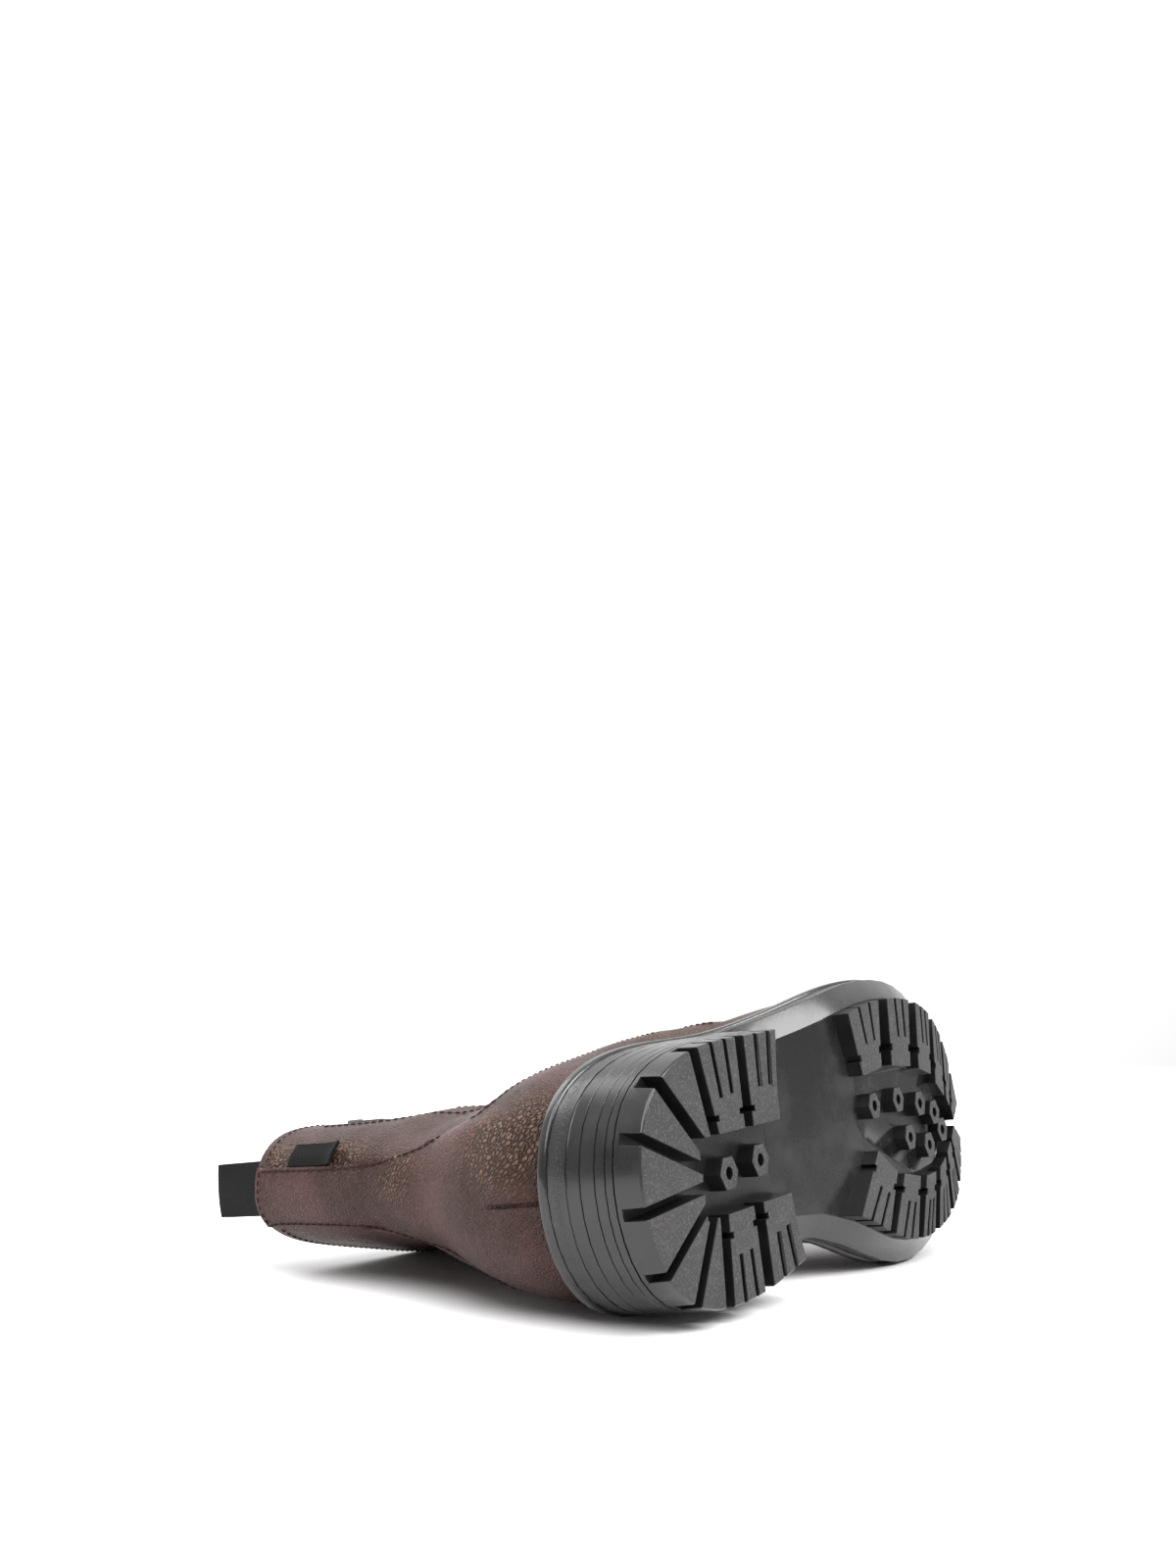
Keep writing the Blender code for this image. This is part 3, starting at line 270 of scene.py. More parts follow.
def rubber_side():
    """Satin black rubber with fine turned rings, a stippled band and rubbed greyish streaks."""
    shade = finish("rubber_side", specular_ior_level=0.45, coat_weight=0.22, coat_roughness=0.14)
    place = shade.place()
    height = shade.along(place, AXES[:, 2])
    rings = shade.node("ShaderNodeTexNoise", {"noise_dimensions": "1D"},
                       {"W": height, "Scale": 1700.0, "Detail": 3.0}, "Fac")
    dots = shade.cells(place, 1150.0, "F1")
    band = shade.attribute("band")
    dust = shade.noise(place, 38.0, 5.0, 0.65)
    stipple = shade.ease(dots, 0.1, 0.55) * band
    shade.relief(rings * 0.22 + stipple * 1.3 + shade.noise(place, 1100.0, 3.0) * 0.16, 0.0002, 0.6)
    worn = shade.ease(dust, 0.4, 0.75)
    body = shade.mix(worn, (0.009, 0.0086, 0.009), (0.020, 0.019, 0.019))
    body = shade.mix(stipple * 0.6, body, (0.005, 0.005, 0.005))
    shade.feed("Base Color", body)
    shade.feed("Roughness", worn * 0.14 + rings * 0.06 + band * 0.16 + 0.22)
    return shade.holder


def rubber_lip():
    """Shiny moulded lip of the welt."""
    shade = finish("rubber_lip", specular_ior_level=0.42, coat_weight=0.35, coat_roughness=0.1)
    place = shade.place()
    dust = shade.noise(place, 55.0, 5.0, 0.65)
    ripple = shade.noise(place, 260.0, 3.0, 0.6)
    shade.relief(ripple, 0.0003, 0.5)
    worn = shade.ease(dust, 0.4, 0.75)
    shade.feed("Base Color", shade.mix(worn, (0.009, 0.0088, 0.009), (0.022, 0.021, 0.021)))
    shade.feed("Roughness", dust * 0.2 + 0.16)
    return shade.holder


def rubber_tread():
    """Faces that meet the floor: buffed and speckled."""
    shade = finish("rubber_tread", specular_ior_level=0.5)
    place = shade.place()
    grit = shade.noise(place, 1150.0, 4.0, 0.7)
    speck = shade.ease(shade.cells(place, 820.0, "F1"), 0.24, 0.05)
    dust = shade.noise(place, 60.0, 5.0, 0.7)
    shade.relief(grit + speck * 0.5, 0.0005, 0.8)
    buffed = shade.mix(shade.ease(dust, 0.35, 0.75), (0.016, 0.0152, 0.0155), (0.031, 0.0295, 0.030))
    buffed = shade.mix(shade.ease(grit, 0.48, 0.66) * 0.55, buffed, (0.095, 0.090, 0.088))
    shade.feed("Base Color", shade.mix(speck * 0.5, buffed, (0.22, 0.21, 0.20)))
    shade.feed("Roughness", 0.62 + dust * 0.12)
    return shade.holder


def rubber_between():
    """Black between the lugs: unworn rubber, darker than the sides as painted shade in the slots."""
    shade = finish("rubber_between", specular_ior_level=0.28)
    place = shade.place()
    dust = shade.noise(place, 60.0, 5.0, 0.7)
    shade.relief(shade.noise(place, 900.0, 3.0), 0.0003, 0.3)
    worn = shade.ease(dust, 0.4, 0.8)
    # darker than the side rubber: painted shade in the slots and between the lugs
    shade.feed("Base Color", shade.mix(worn, (0.0045, 0.0042, 0.0045), (0.011, 0.0106, 0.011)))
    shade.feed("Roughness", 0.32 + dust * 0.16)
    return shade.holder


def rubber_dish():
    """Polished black hollow of the forefoot, with small scuffs."""
    shade = finish("rubber_dish", specular_ior_level=0.5, coat_weight=0.45, coat_roughness=0.1)
    place = shade.place()
    scuff = shade.noise(place, 130.0, 6.0, 0.7)
    shade.relief(scuff, 0.0002, 0.3)
    worn = shade.ease(scuff, 0.5, 0.7)
    shade.feed("Base Color", shade.mix(worn, (0.006, 0.006, 0.0065), (0.022, 0.021, 0.021)))
    shade.feed("Roughness", shade.ease(scuff, 0.4, 0.75, 0.14, 0.34))
    return shade.holder


# Waves of the weave per millimetre, in radians
WARP = 5.2
WEFT = 7.4


def webbing(name, tone):
    """Fine black tape: ribs across it, from its own UV map in millimetres."""
    shade = finish(name, sheen_weight=0.03, specular_ior_level=0.12)
    run = shade.node("ShaderNodeTexCoord", {}, {}, "UV")
    split = shade.node("ShaderNodeSeparateXYZ", {}, {0: run})
    rise = Wire(shade, split.socket.node.outputs[1])
    warp = split.math("SINE", split * WARP)
    weft = rise.math("SINE", rise * WEFT)
    weave = warp * weft * 0.5 + 0.5
    shade.relief(weave, 0.00025, 0.6)
    shade.feed("Base Color", shade.mix(weave, tuple(0.5 * part for part in tone), tone))
    shade.feed("Roughness", weave * 0.15 + 0.68)
    return shade.holder


def gunmetal():
    shade = finish("gunmetal", metallic=1.0)
    place = shade.place()
    scratch = shade.noise(shade.stretched(place, (1.0, 14.0, 1.0)), 900.0, 3.0)
    shade.feed("Base Color", shade.mix(scratch, (0.11, 0.11, 0.115), (0.20, 0.195, 0.19)))
    shade.feed("Roughness", scratch * 0.2 + 0.26)
    return shade.holder


def thread():
    shade = finish("thread", specular_ior_level=0.2)
    twist = shade.noise(shade.place(), 2400.0, 2.0)
    shade.feed("Base Color", shade.mix(twist, (0.008, 0.003, 0.003), (0.026, 0.010, 0.009)))
    shade.feed("Roughness", twist * 0.2 + 0.55)
    return shade.holder


def pulled_seam():
    """Leather in the shade of a pulled-in seam."""
    shade = finish("pulled_seam", specular_ior_level=0.15)
    tone = shade.noise(shade.place(), 700.0, 3.0, 0.6)
    shade.feed("Base Color", shade.mix(tone, (0.020, 0.009, 0.008), (0.046, 0.020, 0.018)))
    shade.feed("Roughness", tone * 0.2 + 0.6)
    return shade.holder


def felt():
    """Insole cover."""
    shade = finish("insole_cover", sheen_weight=0.3)
    place = shade.place()
    fibres = shade.noise(place, 1100.0, 4.0)
    shade.relief(fibres, 0.0004, 0.5)
    shade.feed("Base Color", shade.mix(fibres, (0.070, 0.055, 0.045), (0.125, 0.100, 0.082)))
    shade.feed("Roughness", fibres * 0.1 + 0.84)
    return shade.holder


# Meshes

PAIR_FLAT = math.radians(50)
PAIR_SQUARE = math.radians(70)
RIM_ANGLE = math.radians(50)
SOFT_LEATHER = 50.0
SOFT_TAPE = 60.0
LEVELS = 2


def node_shape(node, quads=False):
    """Merged copy of a CAD node, its triangles paired to quads where asked."""
    bm = bmesh.new()
    bm.from_mesh(NODES[node].data)
    bmesh.ops.remove_doubles(bm, verts=bm.verts, dist=WELD)
    if quads:
        bmesh.ops.join_triangles(
            bm, faces=bm.faces, angle_face_threshold=PAIR_FLAT, angle_shape_threshold=PAIR_SQUARE)
    return bm


def to_mesh(bm, name):
    mesh = bpy.data.meshes.new(name)
    bm.to_mesh(mesh)
    bm.free()
    normals = mesh.attributes.get("custom_normal")
    if normals:
        mesh.attributes.remove(normals)
    return mesh


def positions(mesh):
    flat = np.empty(len(mesh.vertices) * 3, np.float32)
    mesh.vertices.foreach_get("co", flat)
    return flat.reshape(-1, 3).astype(float)


def normals(mesh):
    flat = np.empty(len(mesh.vertices) * 3, np.float32)
    mesh.vertex_normals.foreach_get("vector", flat)
    return flat.reshape(-1, 3).astype(float)


def set_positions(mesh, points):
    mesh.vertices.foreach_set("co", np.asarray(points, np.float32).ravel())
    mesh.update()


def set_value(mesh, name, values):
    layer = mesh.attributes.get(name) or mesh.attributes.new(name, "FLOAT", "POINT")
    layer.data.foreach_set("value", np.asarray(values, np.float32))


def shell_sides(bm):
    """Faces of a thin shell: those outside, those inside and those of its rims."""
    left = set(bm.faces)
    groups = []
    while left:
        start = left.pop()
        group = [start]
        for face in group:
            for edge in face.edges:
                if edge.calc_face_angle(0.0) < RIM_ANGLE:
                    for other in edge.link_faces:
                        if other in left:
                            left.discard(other)
                            group.append(other)
        groups.append(group)
    groups.sort(key=lambda group: -sum(face.calc_area() for face in group))
    rims = [face for group in groups[2:] for face in group]
    return groups[0], groups[1], rims


def smooth_shell(node, levels, crease=0.9):
    """Leather sheet from a CAD shell: subdivided, with firm rims, through the solid's own points."""
    bm = node_shape(node, quads=True)
    hidden = bm.faces.layers.float.new("inside")
    firm = bm.edges.layers.float.new("crease_edge")
    _, inside, rims = shell_sides(bm)
    for face in inside + rims:
        face[hidden] = 1.0
    for edge in bm.edges:
        if edge.calc_face_angle(0.0) > RIM_ANGLE:
            edge[firm] = crease
    mesh = to_mesh(bm, node + "_work")
    work = bpy.data.objects.new(node + "_work", mesh)
    bpy.context.scene.collection.objects.link(work)
    modifier = work.modifiers.new("smooth", "SUBSURF")
    modifier.levels = levels
    modifier.render_levels = levels
    rest = positions(mesh)
    cage = rest.copy()
    for _ in range(2):
        graph = bpy.context.evaluated_depsgraph_get()
        shown = positions(work.evaluated_get(graph).data)[:len(rest)]
        cage += rest - shown
        set_positions(mesh, cage)
    graph = bpy.context.evaluated_depsgraph_get()
    made = bpy.data.meshes.new_from_object(work.evaluated_get(graph))
    bpy.data.objects.remove(work)
    return made


def piece(name, mesh, material, node=None, body="boot", smooth=35.0):
    """Finished piece on its body, soft up to an angle; with its mesh's own shading if that is None."""
    obj = bpy.data.objects.new(name, mesh)
    bpy.context.scene.collection.objects.link(obj)
    mesh.materials.clear()
    for coat in material if isinstance(material, (list, tuple)) else (material,):
        mesh.materials.append(coat)
    if smooth is not None:
        mesh.shade_smooth()
        mesh.set_sharp_from_angle(angle=math.radians(smooth))
    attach(obj, body)
    if node:
        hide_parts(node)
    return obj


# Leather

Fold = namedtuple("Fold", "x y z nx ny nz reach width depth")
FOLDS = (
    Fold(10, 4, 84, 0.10, 0.0, 1.0, 26, 7.5, 1.3),
    Fold(8, -8, 98, 0.0, 0.15, 1.0, 18, 5.0, -0.6),
    Fold(6, 2, 112, 0.1, -0.15, 1.0, 20, 6.0, 0.6),
    Fold(0, -14, 60, 0.2, 0.3, 1.0, 22, 5.5, 0.7),
    Fold(36, -26, 92, 0.25, 0.0, 1.0, 26, 6.0, 1.0),
    Fold(48, -26, 104, 0.35, 0.0, 1.0, 24, 5.0, -0.7),
    Fold(62, -26, 84, 0.55, 0.0, 1.0, 30, 7.0, 1.2),
    Fold(112, 2, 96, 0.8, 0.0, 1.0, 34, 7.0, 1.5),
    Fold(128, 2, 82, 0.7, 0.1, 1.0, 34, 6.0, -0.8),
    Fold(60, 30, 90, 0.4, 0.0, 1.0, 30, 7.0, 1.1),
    Fold(178, 4, 58, 1.0, 0.12, 0.25, 40, 4.2, 1.0),
    Fold(190, 4, 54, 1.0, -0.08, 0.25, 42, 4.6, 1.2),
    Fold(6, -18.5, 69, 0.63, -0.76, 0.02, 17, 5.0, -1.8),
    Fold(203, 4, 50, 1.0, 0.1, 0.2, 38, 4.0, 0.8),
)

Patch = namedtuple("Patch", "x y z reach amount")
GRAIN = (
    Patch(-1, -15, 47, 12, 0.95),
    Patch(5, -23, 42, 10, 0.75),
    Patch(1, -17, 57, 7, 0.5),
    Patch(5.5, -8, 99, 8, 0.95),
    Patch(10, -15, 123, 8, 0.6),
    Patch(8, -16, 152, 8, 0.6),
    Patch(90, -38, 56, 30, 0.5),
    Patch(150, -20, 60, 40, 0.4),
    Patch(230, 0, 55, 40, 0.45),
)
PLAIN_GRAIN = 0.14
# Painted highlights on ridges, and painted shade in hollows where the amount is negative
RIDGE_LIGHT_HOLLOW_SHADE = (
    Patch(9, -17, 82, 7, 0.5),
    Patch(6, -18.5, 70, 7, 0.75),
    Patch(3.5, -21, 58, 7, 0.65),
    Patch(1.5, 4.5, 80, 9, 0.4),
    Patch(9, 3, 140, 12, 0.2),
    Patch(6.5, -1, 114, 10, -0.5),
    Patch(4.5, -4, 91, 8, -0.45),
    Patch(-3, -3, 60, 9, -0.35),
    Patch(6, 18, 60, 16, -0.4),
    Patch(60, -26, 100, 20, 0.25),
    Patch(120, 0, 85, 26, -0.3),
    Patch(250, 0, 50, 30, 0.3),
)


def patched(boot, patches):
    """Sum of the patches at each point."""
    found = np.zeros(len(boot))
    for patch in patches:
        away = np.linalg.norm(boot - (patch.x, patch.y, patch.z), axis=1)
        found += patch.amount * np.exp(-(away / patch.reach) ** 2)
    return found


def bend_leather(mesh):
    """Moves a leather piece by the boot's soft folds and gives it its grain and its painted highlights and
    shade.
    """
    points = positions(mesh)
    boot = in_boot(points)
    push = np.zeros(len(boot))
    for fold in FOLDS:
        away = boot - (fold.x, fold.y, fold.z)
        line = np.array((fold.nx, fold.ny, fold.nz))
        across = away @ line / np.linalg.norm(line)
        near = np.exp(-(np.linalg.norm(away, axis=1) / fold.reach) ** 2)
        push -= fold.depth * np.exp(-(across / fold.width) ** 2) * near
    outward = normals(mesh)
    inside = point_values(mesh, "inside")
    outward[inside > 0.5] *= -1.0
    set_positions(mesh, points + outward * push[:, None] * MM)
    set_value(mesh, "grain", np.clip(PLAIN_GRAIN + patched(boot, GRAIN), 0, 1))
    # patches of painted highlight (pale) and painted shade (dark)
    tone = patched(boot, RIDGE_LIGHT_HOLLOW_SHADE)
    set_value(mesh, "pale", np.clip(tone, 0, 1))
    set_value(mesh, "dark", np.clip(-tone, 0, 1))


def face_values(mesh, name):
    values = np.empty(len(mesh.polygons), np.float32)
    mesh.attributes[name].data.foreach_get("value", values)
    return values


def point_values(mesh, name):
    """Largest value of a face layer round each point."""
    totals = np.empty(len(mesh.polygons), np.int32)
    mesh.polygons.foreach_get("loop_total", totals)
    corners = np.empty(len(mesh.loops), np.int32)
    mesh.loops.foreach_get("vertex_index", corners)
    found = np.zeros(len(mesh.vertices), np.float32)
    np.maximum.at(found, corners, np.repeat(face_values(mesh, name), totals))
    return found


def face_slots(mesh, name):
    """Second material on the faces that a layer marks."""
    mesh.polygons.foreach_set("material_index", (face_values(mesh, name) > 0.5).astype(np.int32))


def make_upper(hide, inner):
    mesh = smooth_shell("upper", LEVELS)
    bend_leather(mesh)
    obj = piece("upper_leather", mesh, (hide, inner), "upper", smooth=SOFT_LEATHER)
    face_slots(mesh, "inside")
    return obj


# Seam up the back of the counter: where it lies, and its groove between two soft lips
BACK_SEAM = Vector((-4.0, 2.0, 43.0))
BACK_SEAM_TOP = 53.0
BACK_SEAM_FADE = 3.0
BACK_SEAM_CUTS = (-1.6, -0.8, -0.35, 0.35, 0.8, 1.6)
BACK_CUT_REACH = 6.0
BACK_CUT_TOP = 58.0
BACK_CUT_DEPTH = 25.0
BACK_DEPTH = 20.0
GROOVE_WIDTH = 0.45
GROOVE_DEPTH = 0.55
LIP_PLACE = 1.0
LIP_WIDTH = 0.5
LIP_RISE = 0.25


def make_strip(hide, edge):
    """Back strip and counter; the seam up the counter's back is pressed in."""
    mesh = smooth_shell("back_strip", LEVELS)
    bend_leather(mesh)
    bm = bmesh.new()
    bm.from_mesh(mesh)
    across = Vector(AXES[:, 1])
    for offset in BACK_SEAM_CUTS:
        near = [face for face in bm.faces if near_back_seam(face.calc_center_median())]
        geometry = {part for face in near for part in (face, *face.edges, *face.verts)}
        bmesh.ops.bisect_plane(
            bm, geom=list(geometry), dist=WELD,
            plane_co=from_boot(BACK_SEAM + Vector((0, offset, 0))), plane_no=across)
    bm.to_mesh(mesh)
    bm.free()
    boot = in_boot(positions(mesh))
    side = boot[:, 1] - BACK_SEAM.y
    end = np.clip((BACK_SEAM_TOP - boot[:, 2]) / BACK_SEAM_FADE, 0, 1) * (boot[:, 0] < BACK_DEPTH)
    groove = np.exp(-(side / GROOVE_WIDTH) ** 4) * end
    lips = np.exp(-((np.abs(side) - LIP_PLACE) / LIP_WIDTH) ** 2) * end
    push = LIP_RISE * lips - GROOVE_DEPTH * groove
    set_positions(mesh, positions(mesh) + normals(mesh) * push[:, None] * MM)
    # the groove is also painted dark: painted shade
    set_value(mesh, "seam", groove)
    obj = piece("back_strip_leather", mesh, (hide, edge), "back_strip", smooth=SOFT_LEATHER)
    face_slots(mesh, "inside")
    return obj


def near_back_seam(point):
    x, y, z = in_boot(point)
    return x < BACK_CUT_DEPTH and abs(y - BACK_SEAM.y) < BACK_CUT_REACH and z < BACK_CUT_TOP


# Stitches

STITCH_PITCH = 2.8
STITCH_LENGTH = 2.1
STITCH_WIDTH = 0.62
STITCH_RISE = 0.12
STITCH_SLANT = math.radians(6)
# Longest step between two stitches of one seam, in pitches
STITCH_BREAK = 1.5
# Dark ribbon of painted shade under each run of stitches: its width, rise and weld
SHADE_RIBBON_WIDTH = 0.7
SHADE_RIBBON_RISE = 0.06
SHADE_RIBBON_WELD = 0.05


def outlines(node):
    """Outer edge lines of a CAD shell: lists of (point, direction into the sheet), in order."""
    bm = node_shape(node)
    outside = set(shell_sides(bm)[0])
    ways = {}
    for edge in bm.edges:
        faces = [face for face in edge.link_faces if face in outside]
        if len(faces) == 1:
            middle = (edge.verts[0].co + edge.verts[1].co) / 2
            along = (edge.verts[1].co - edge.verts[0].co).normalized()
            into = faces[0].calc_center_median() - middle
            into = (into - along * into.dot(along)).normalized()
            for one, two in (edge.verts, reversed(edge.verts)):
                ways.setdefault(one, []).append((two, middle, into))
    lines = []
    while ways:
        start = next(iter(ways))
        here, before, line = start, None, []
        while here in ways:
            steps = [step for step in ways.pop(here) if step[0] is not before]
            if not steps:
                break
            before, (here, middle, into) = here, steps[0]
            line.append((middle.copy(), into.copy()))
        lines.append(line)
    bm.free()
    return lines


def surface_of(obj):
    graph = bpy.context.evaluated_depsgraph_get()
    return BVHTree.FromObject(obj, graph)


def sewn_line(line, draw, surface, wanted, closed=True):
    """Places of stitches: an outline drawn into the sheet, laid on its surface, at an even pitch."""
    points = []
    for middle, into in line:
        spot, normal, _, _ = surface.find_nearest(middle + into * draw * MM)
        points.append((spot, normal))
    if closed:
        points.append(points[0])
    places = []
    left = 0.0
    pitch = STITCH_PITCH * MM
    for (a, normal_a), (b, normal_b) in zip(points, points[1:]):
        length = (b - a).length
        while left < length:
            share = left / length
            spot = a.lerp(b, share)
            if wanted(in_boot(spot)):
                places.append((spot, (b - a).normalized(), normal_a.lerp(normal_b, share)))
            left += pitch
        left -= length
    return places


def sew(name, places, coats):
    """Short threads lying on the leather, each a little slanted, over a dark ribbon of painted shade where
    they pull the leather in.
    """
    bm = bmesh.new()
    for spot, along, out in places:
        out = (out - along * out.dot(along)).normalized()
        along = (Matrix.Rotation(STITCH_SLANT, 3, out) @ along).normalized()
        turn = Matrix((along, out.cross(along), out)).transposed().to_4x4()
        size = Matrix.Diagonal((STITCH_LENGTH * MM / 2, STITCH_WIDTH * MM / 2, STITCH_WIDTH * MM / 2, 1))
        rise = Matrix.Translation(spot + out * STITCH_RISE * MM)
        bmesh.ops.create_uvsphere(bm, u_segments=6, v_segments=5, radius=1.0, matrix=rise @ turn @ size)
    threads = len(bm.faces)
    # ribbon of painted shade along the stitches
    for (a, along, out), (b, _, _) in zip(places, places[1:]):
        if (b - a).length < STITCH_BREAK * STITCH_PITCH * MM:
            side = along.cross(out).normalized() * SHADE_RIBBON_WIDTH / 2 * MM
            rise = out * SHADE_RIBBON_RISE * MM
            bm.faces.new([bm.verts.new(spot + rise) for spot in (a - side, a + side, b + side, b - side)])
    ribbon = [vert for face in list(bm.faces)[threads:] for vert in face.verts]
    bmesh.ops.remove_doubles(bm, verts=ribbon, dist=SHADE_RIBBON_WELD * MM)
    obj = piece(name, to_mesh(bm, name), coats, smooth=80.0)
    kinds = np.zeros(len(obj.data.polygons), np.int32)
    kinds[threads:] = 1
    obj.data.polygons.foreach_set("material_index", kinds)
    return obj


# Rubber

SHARP = math.radians(32)
PLATE_SHARP = math.radians(18)
FLAT = math.radians(0.6)
SHORTEST = 0.3
WIDEST = 1.0
BEVEL_STEPS = 3


def moulded(node, rounding=None, sharp=SHARP):
    """Moulded piece from a CAD solid: flat faces joined, outer edges rounded by rounding(middle) mm."""
    bm = node_shape(node)
    bmesh.ops.dissolve_limit(
        bm, angle_limit=FLAT, use_dissolve_boundaries=False, verts=bm.verts, edges=bm.edges)
    bmesh.ops.dissolve_degenerate(bm, dist=SHORTEST * MM, edges=bm.edges)
    share = bm.edges.layers.float.new("bevel_weight_edge")
    for edge in bm.edges:
        if rounding and edge.calc_face_angle(0.0) > sharp and edge.is_convex:
            edge[share] = rounding(in_boot((edge.verts[0].co + edge.verts[1].co) / 2)) / WIDEST
    mesh = to_mesh(bm, node + "_work")
    mesh.shade_smooth()
    mesh.set_sharp_from_angle(angle=sharp)
    work = bpy.data.objects.new(node + "_work", mesh)
    bpy.context.scene.collection.objects.link(work)
    modifier = work.modifiers.new("rounding", "BEVEL")
    modifier.limit_method = "WEIGHT"
    modifier.width = WIDEST * MM
    modifier.segments = BEVEL_STEPS
    modifier.profile = 0.5
    modifier.use_clamp_overlap = False
    modifier.harden_normals = True
    graph = bpy.context.evaluated_depsgraph_get()
    made = bpy.data.meshes.new_from_object(work.evaluated_get(graph))
    bpy.data.objects.remove(work)
    return made


# Heights along the boot: the tread, the floor of the dish and the top of the plate under the welt
TOE_SPRING = ((195.0, 0.0), (215.0, 0.6), (235.0, 2.7), (255.0, 6.7), (275.0, 11.8), (294.0, 17.2))
BASE = ((150.0, 6.3), (170.0, 5.2), (195.0, 5.0), (215.0, 5.6), (235.0, 7.7), (255.0, 11.5))
DECK = (
    (-6.0, 29.7), (40.0, 29.7), (78.0, 29.4), (92.0, 28.5), (110.0, 26.0), (130.0, 22.0), (150.0, 17.8),
    (170.0, 15.2), (195.0, 14.2), (215.0, 14.6), (235.0, 16.7), (255.0, 20.1), (275.0, 24.5), (294.0, 29.5))
Disc = namedtuple("Disc", "x y radius")
DISH = (Disc(170.0, -4.5, 12.5), Disc(205.0, 3.3, 20.3), Disc(226.0, 4.5, 18.5))
DISH_EDGE = 0.5
HEEL_END = 100.0
HEEL_HUB = (48.0, 1.0)
HEEL_SPAN = (50.0, 40.0)


def height_at(x, rows):
    return np.interp(x, *zip(*rows))


def heel_reach(x, y):
    """How far out a spot of the heel lies: 1 on an oval just inside its rim."""
    return ((x - HEEL_HUB[0]) / HEEL_SPAN[0]) ** 2 + ((y - HEEL_HUB[1]) / HEEL_SPAN[1]) ** 2


def in_dish(x, y):
    """Whether a spot of the plan lies in the pear drawn round the dish's discs."""
    inside = np.zeros(np.shape(x), bool)
    for a, b in zip(DISH, DISH[1:]):
        run = np.array((b.x - a.x, b.y - a.y))
        share = np.clip(((x - a.x) * run[0] + (y - a.y) * run[1]) / (run @ run), 0, 1)
        away = np.hypot(x - a.x - share * run[0], y - a.y - share * run[1])
        inside |= away < a.radius + share * (b.radius - a.radius) + DISH_EDGE
    return inside


LUG_START = 136.0
LUG_ZONE = 5.7
TREAD_FACING = -0.8
TREAD_DEPTH = 2.2
RIM_REACH = 0.72
RIM_FACING = 24.0
BAND_TOP = 0.8
BAND_DEPTH = 4.4


def mark_tread(mesh):
    """Materials of a tread piece: floor faces first, then side and waist, then all that lies between."""
    count = len(mesh.polygons)
    centre = np.empty(count * 3, np.float32)
    facing = np.empty(count * 3, np.float32)
    mesh.polygons.foreach_get("center", centre)
    mesh.polygons.foreach_get("normal", facing)
    boot = in_boot(centre.reshape(-1, 3))
    facing = facing.reshape(-1, 3) @ AXES
    x, y = boot[:, 0], boot[:, 1]
    above = boot[:, 2] - height_at(x, TOE_SPRING)
    dish = in_dish(x, y) & (x > LUG_START)
    tread = (facing[:, 2] < TREAD_FACING) & (above < TREAD_DEPTH)
    outward = facing[:, 0] * (x - HEEL_HUB[0]) + facing[:, 1] * (y - HEEL_HUB[1]) > RIM_FACING
    rim = (heel_reach(x, y) > RIM_REACH) & outward
    plain = np.where(x < HEEL_END, rim, (x < LUG_START) | (above > LUG_ZONE) & ~dish)
    mesh.polygons.foreach_set("material_index", np.where(plain, 1, np.where(tread, 0, 2)).astype(np.int32))
    mark_band(mesh)


def mark_band(mesh):
    """Stippled band round the side, just under the welt."""
    boot = in_boot(positions(mesh))
    below = height_at(boot[:, 0], DECK) - boot[:, 2]
    set_value(mesh, "band", (below > BAND_TOP) & (below < BAND_DEPTH))


TREAD_ROUND = 0.3
RIM_ROUND = 0.9
RIM_ROUND_REACH = 0.8
RIM_ROUND_TOP = 0.5
LUG_FOOT = 1.0


def lift_rounding(at):
    """Rim of the heel's tread rounder than its lugs."""
    rim = heel_reach(at[0], at[1]) > RIM_ROUND_REACH and at[2] < RIM_ROUND_TOP
    return RIM_ROUND if rim else TREAD_ROUND


def plate_rounding(at):
    """Lugs of the forefoot rounded, the plate's own edges left sharp."""
    lug = at[0] > LUG_START and at[2] - height_at(at[0], TOE_SPRING) < LUG_ZONE + LUG_FOOT
    return TREAD_ROUND if lug else 0.0


BOWL_DEPTH = 1.3
BOWL_LEAN = 9.0
BOWL_TIP = Vector((-0.03, -0.09))
BOWL_WAY = Vector((0.7, 0.71))
BOWL_RINGS = (1.0, 0.97, 0.94, 0.85, 0.7, 0.55, 0.4, 0.25, 0.12, 0.0)
BOWL_STEPS = 72
RIM_RISE = 0.35


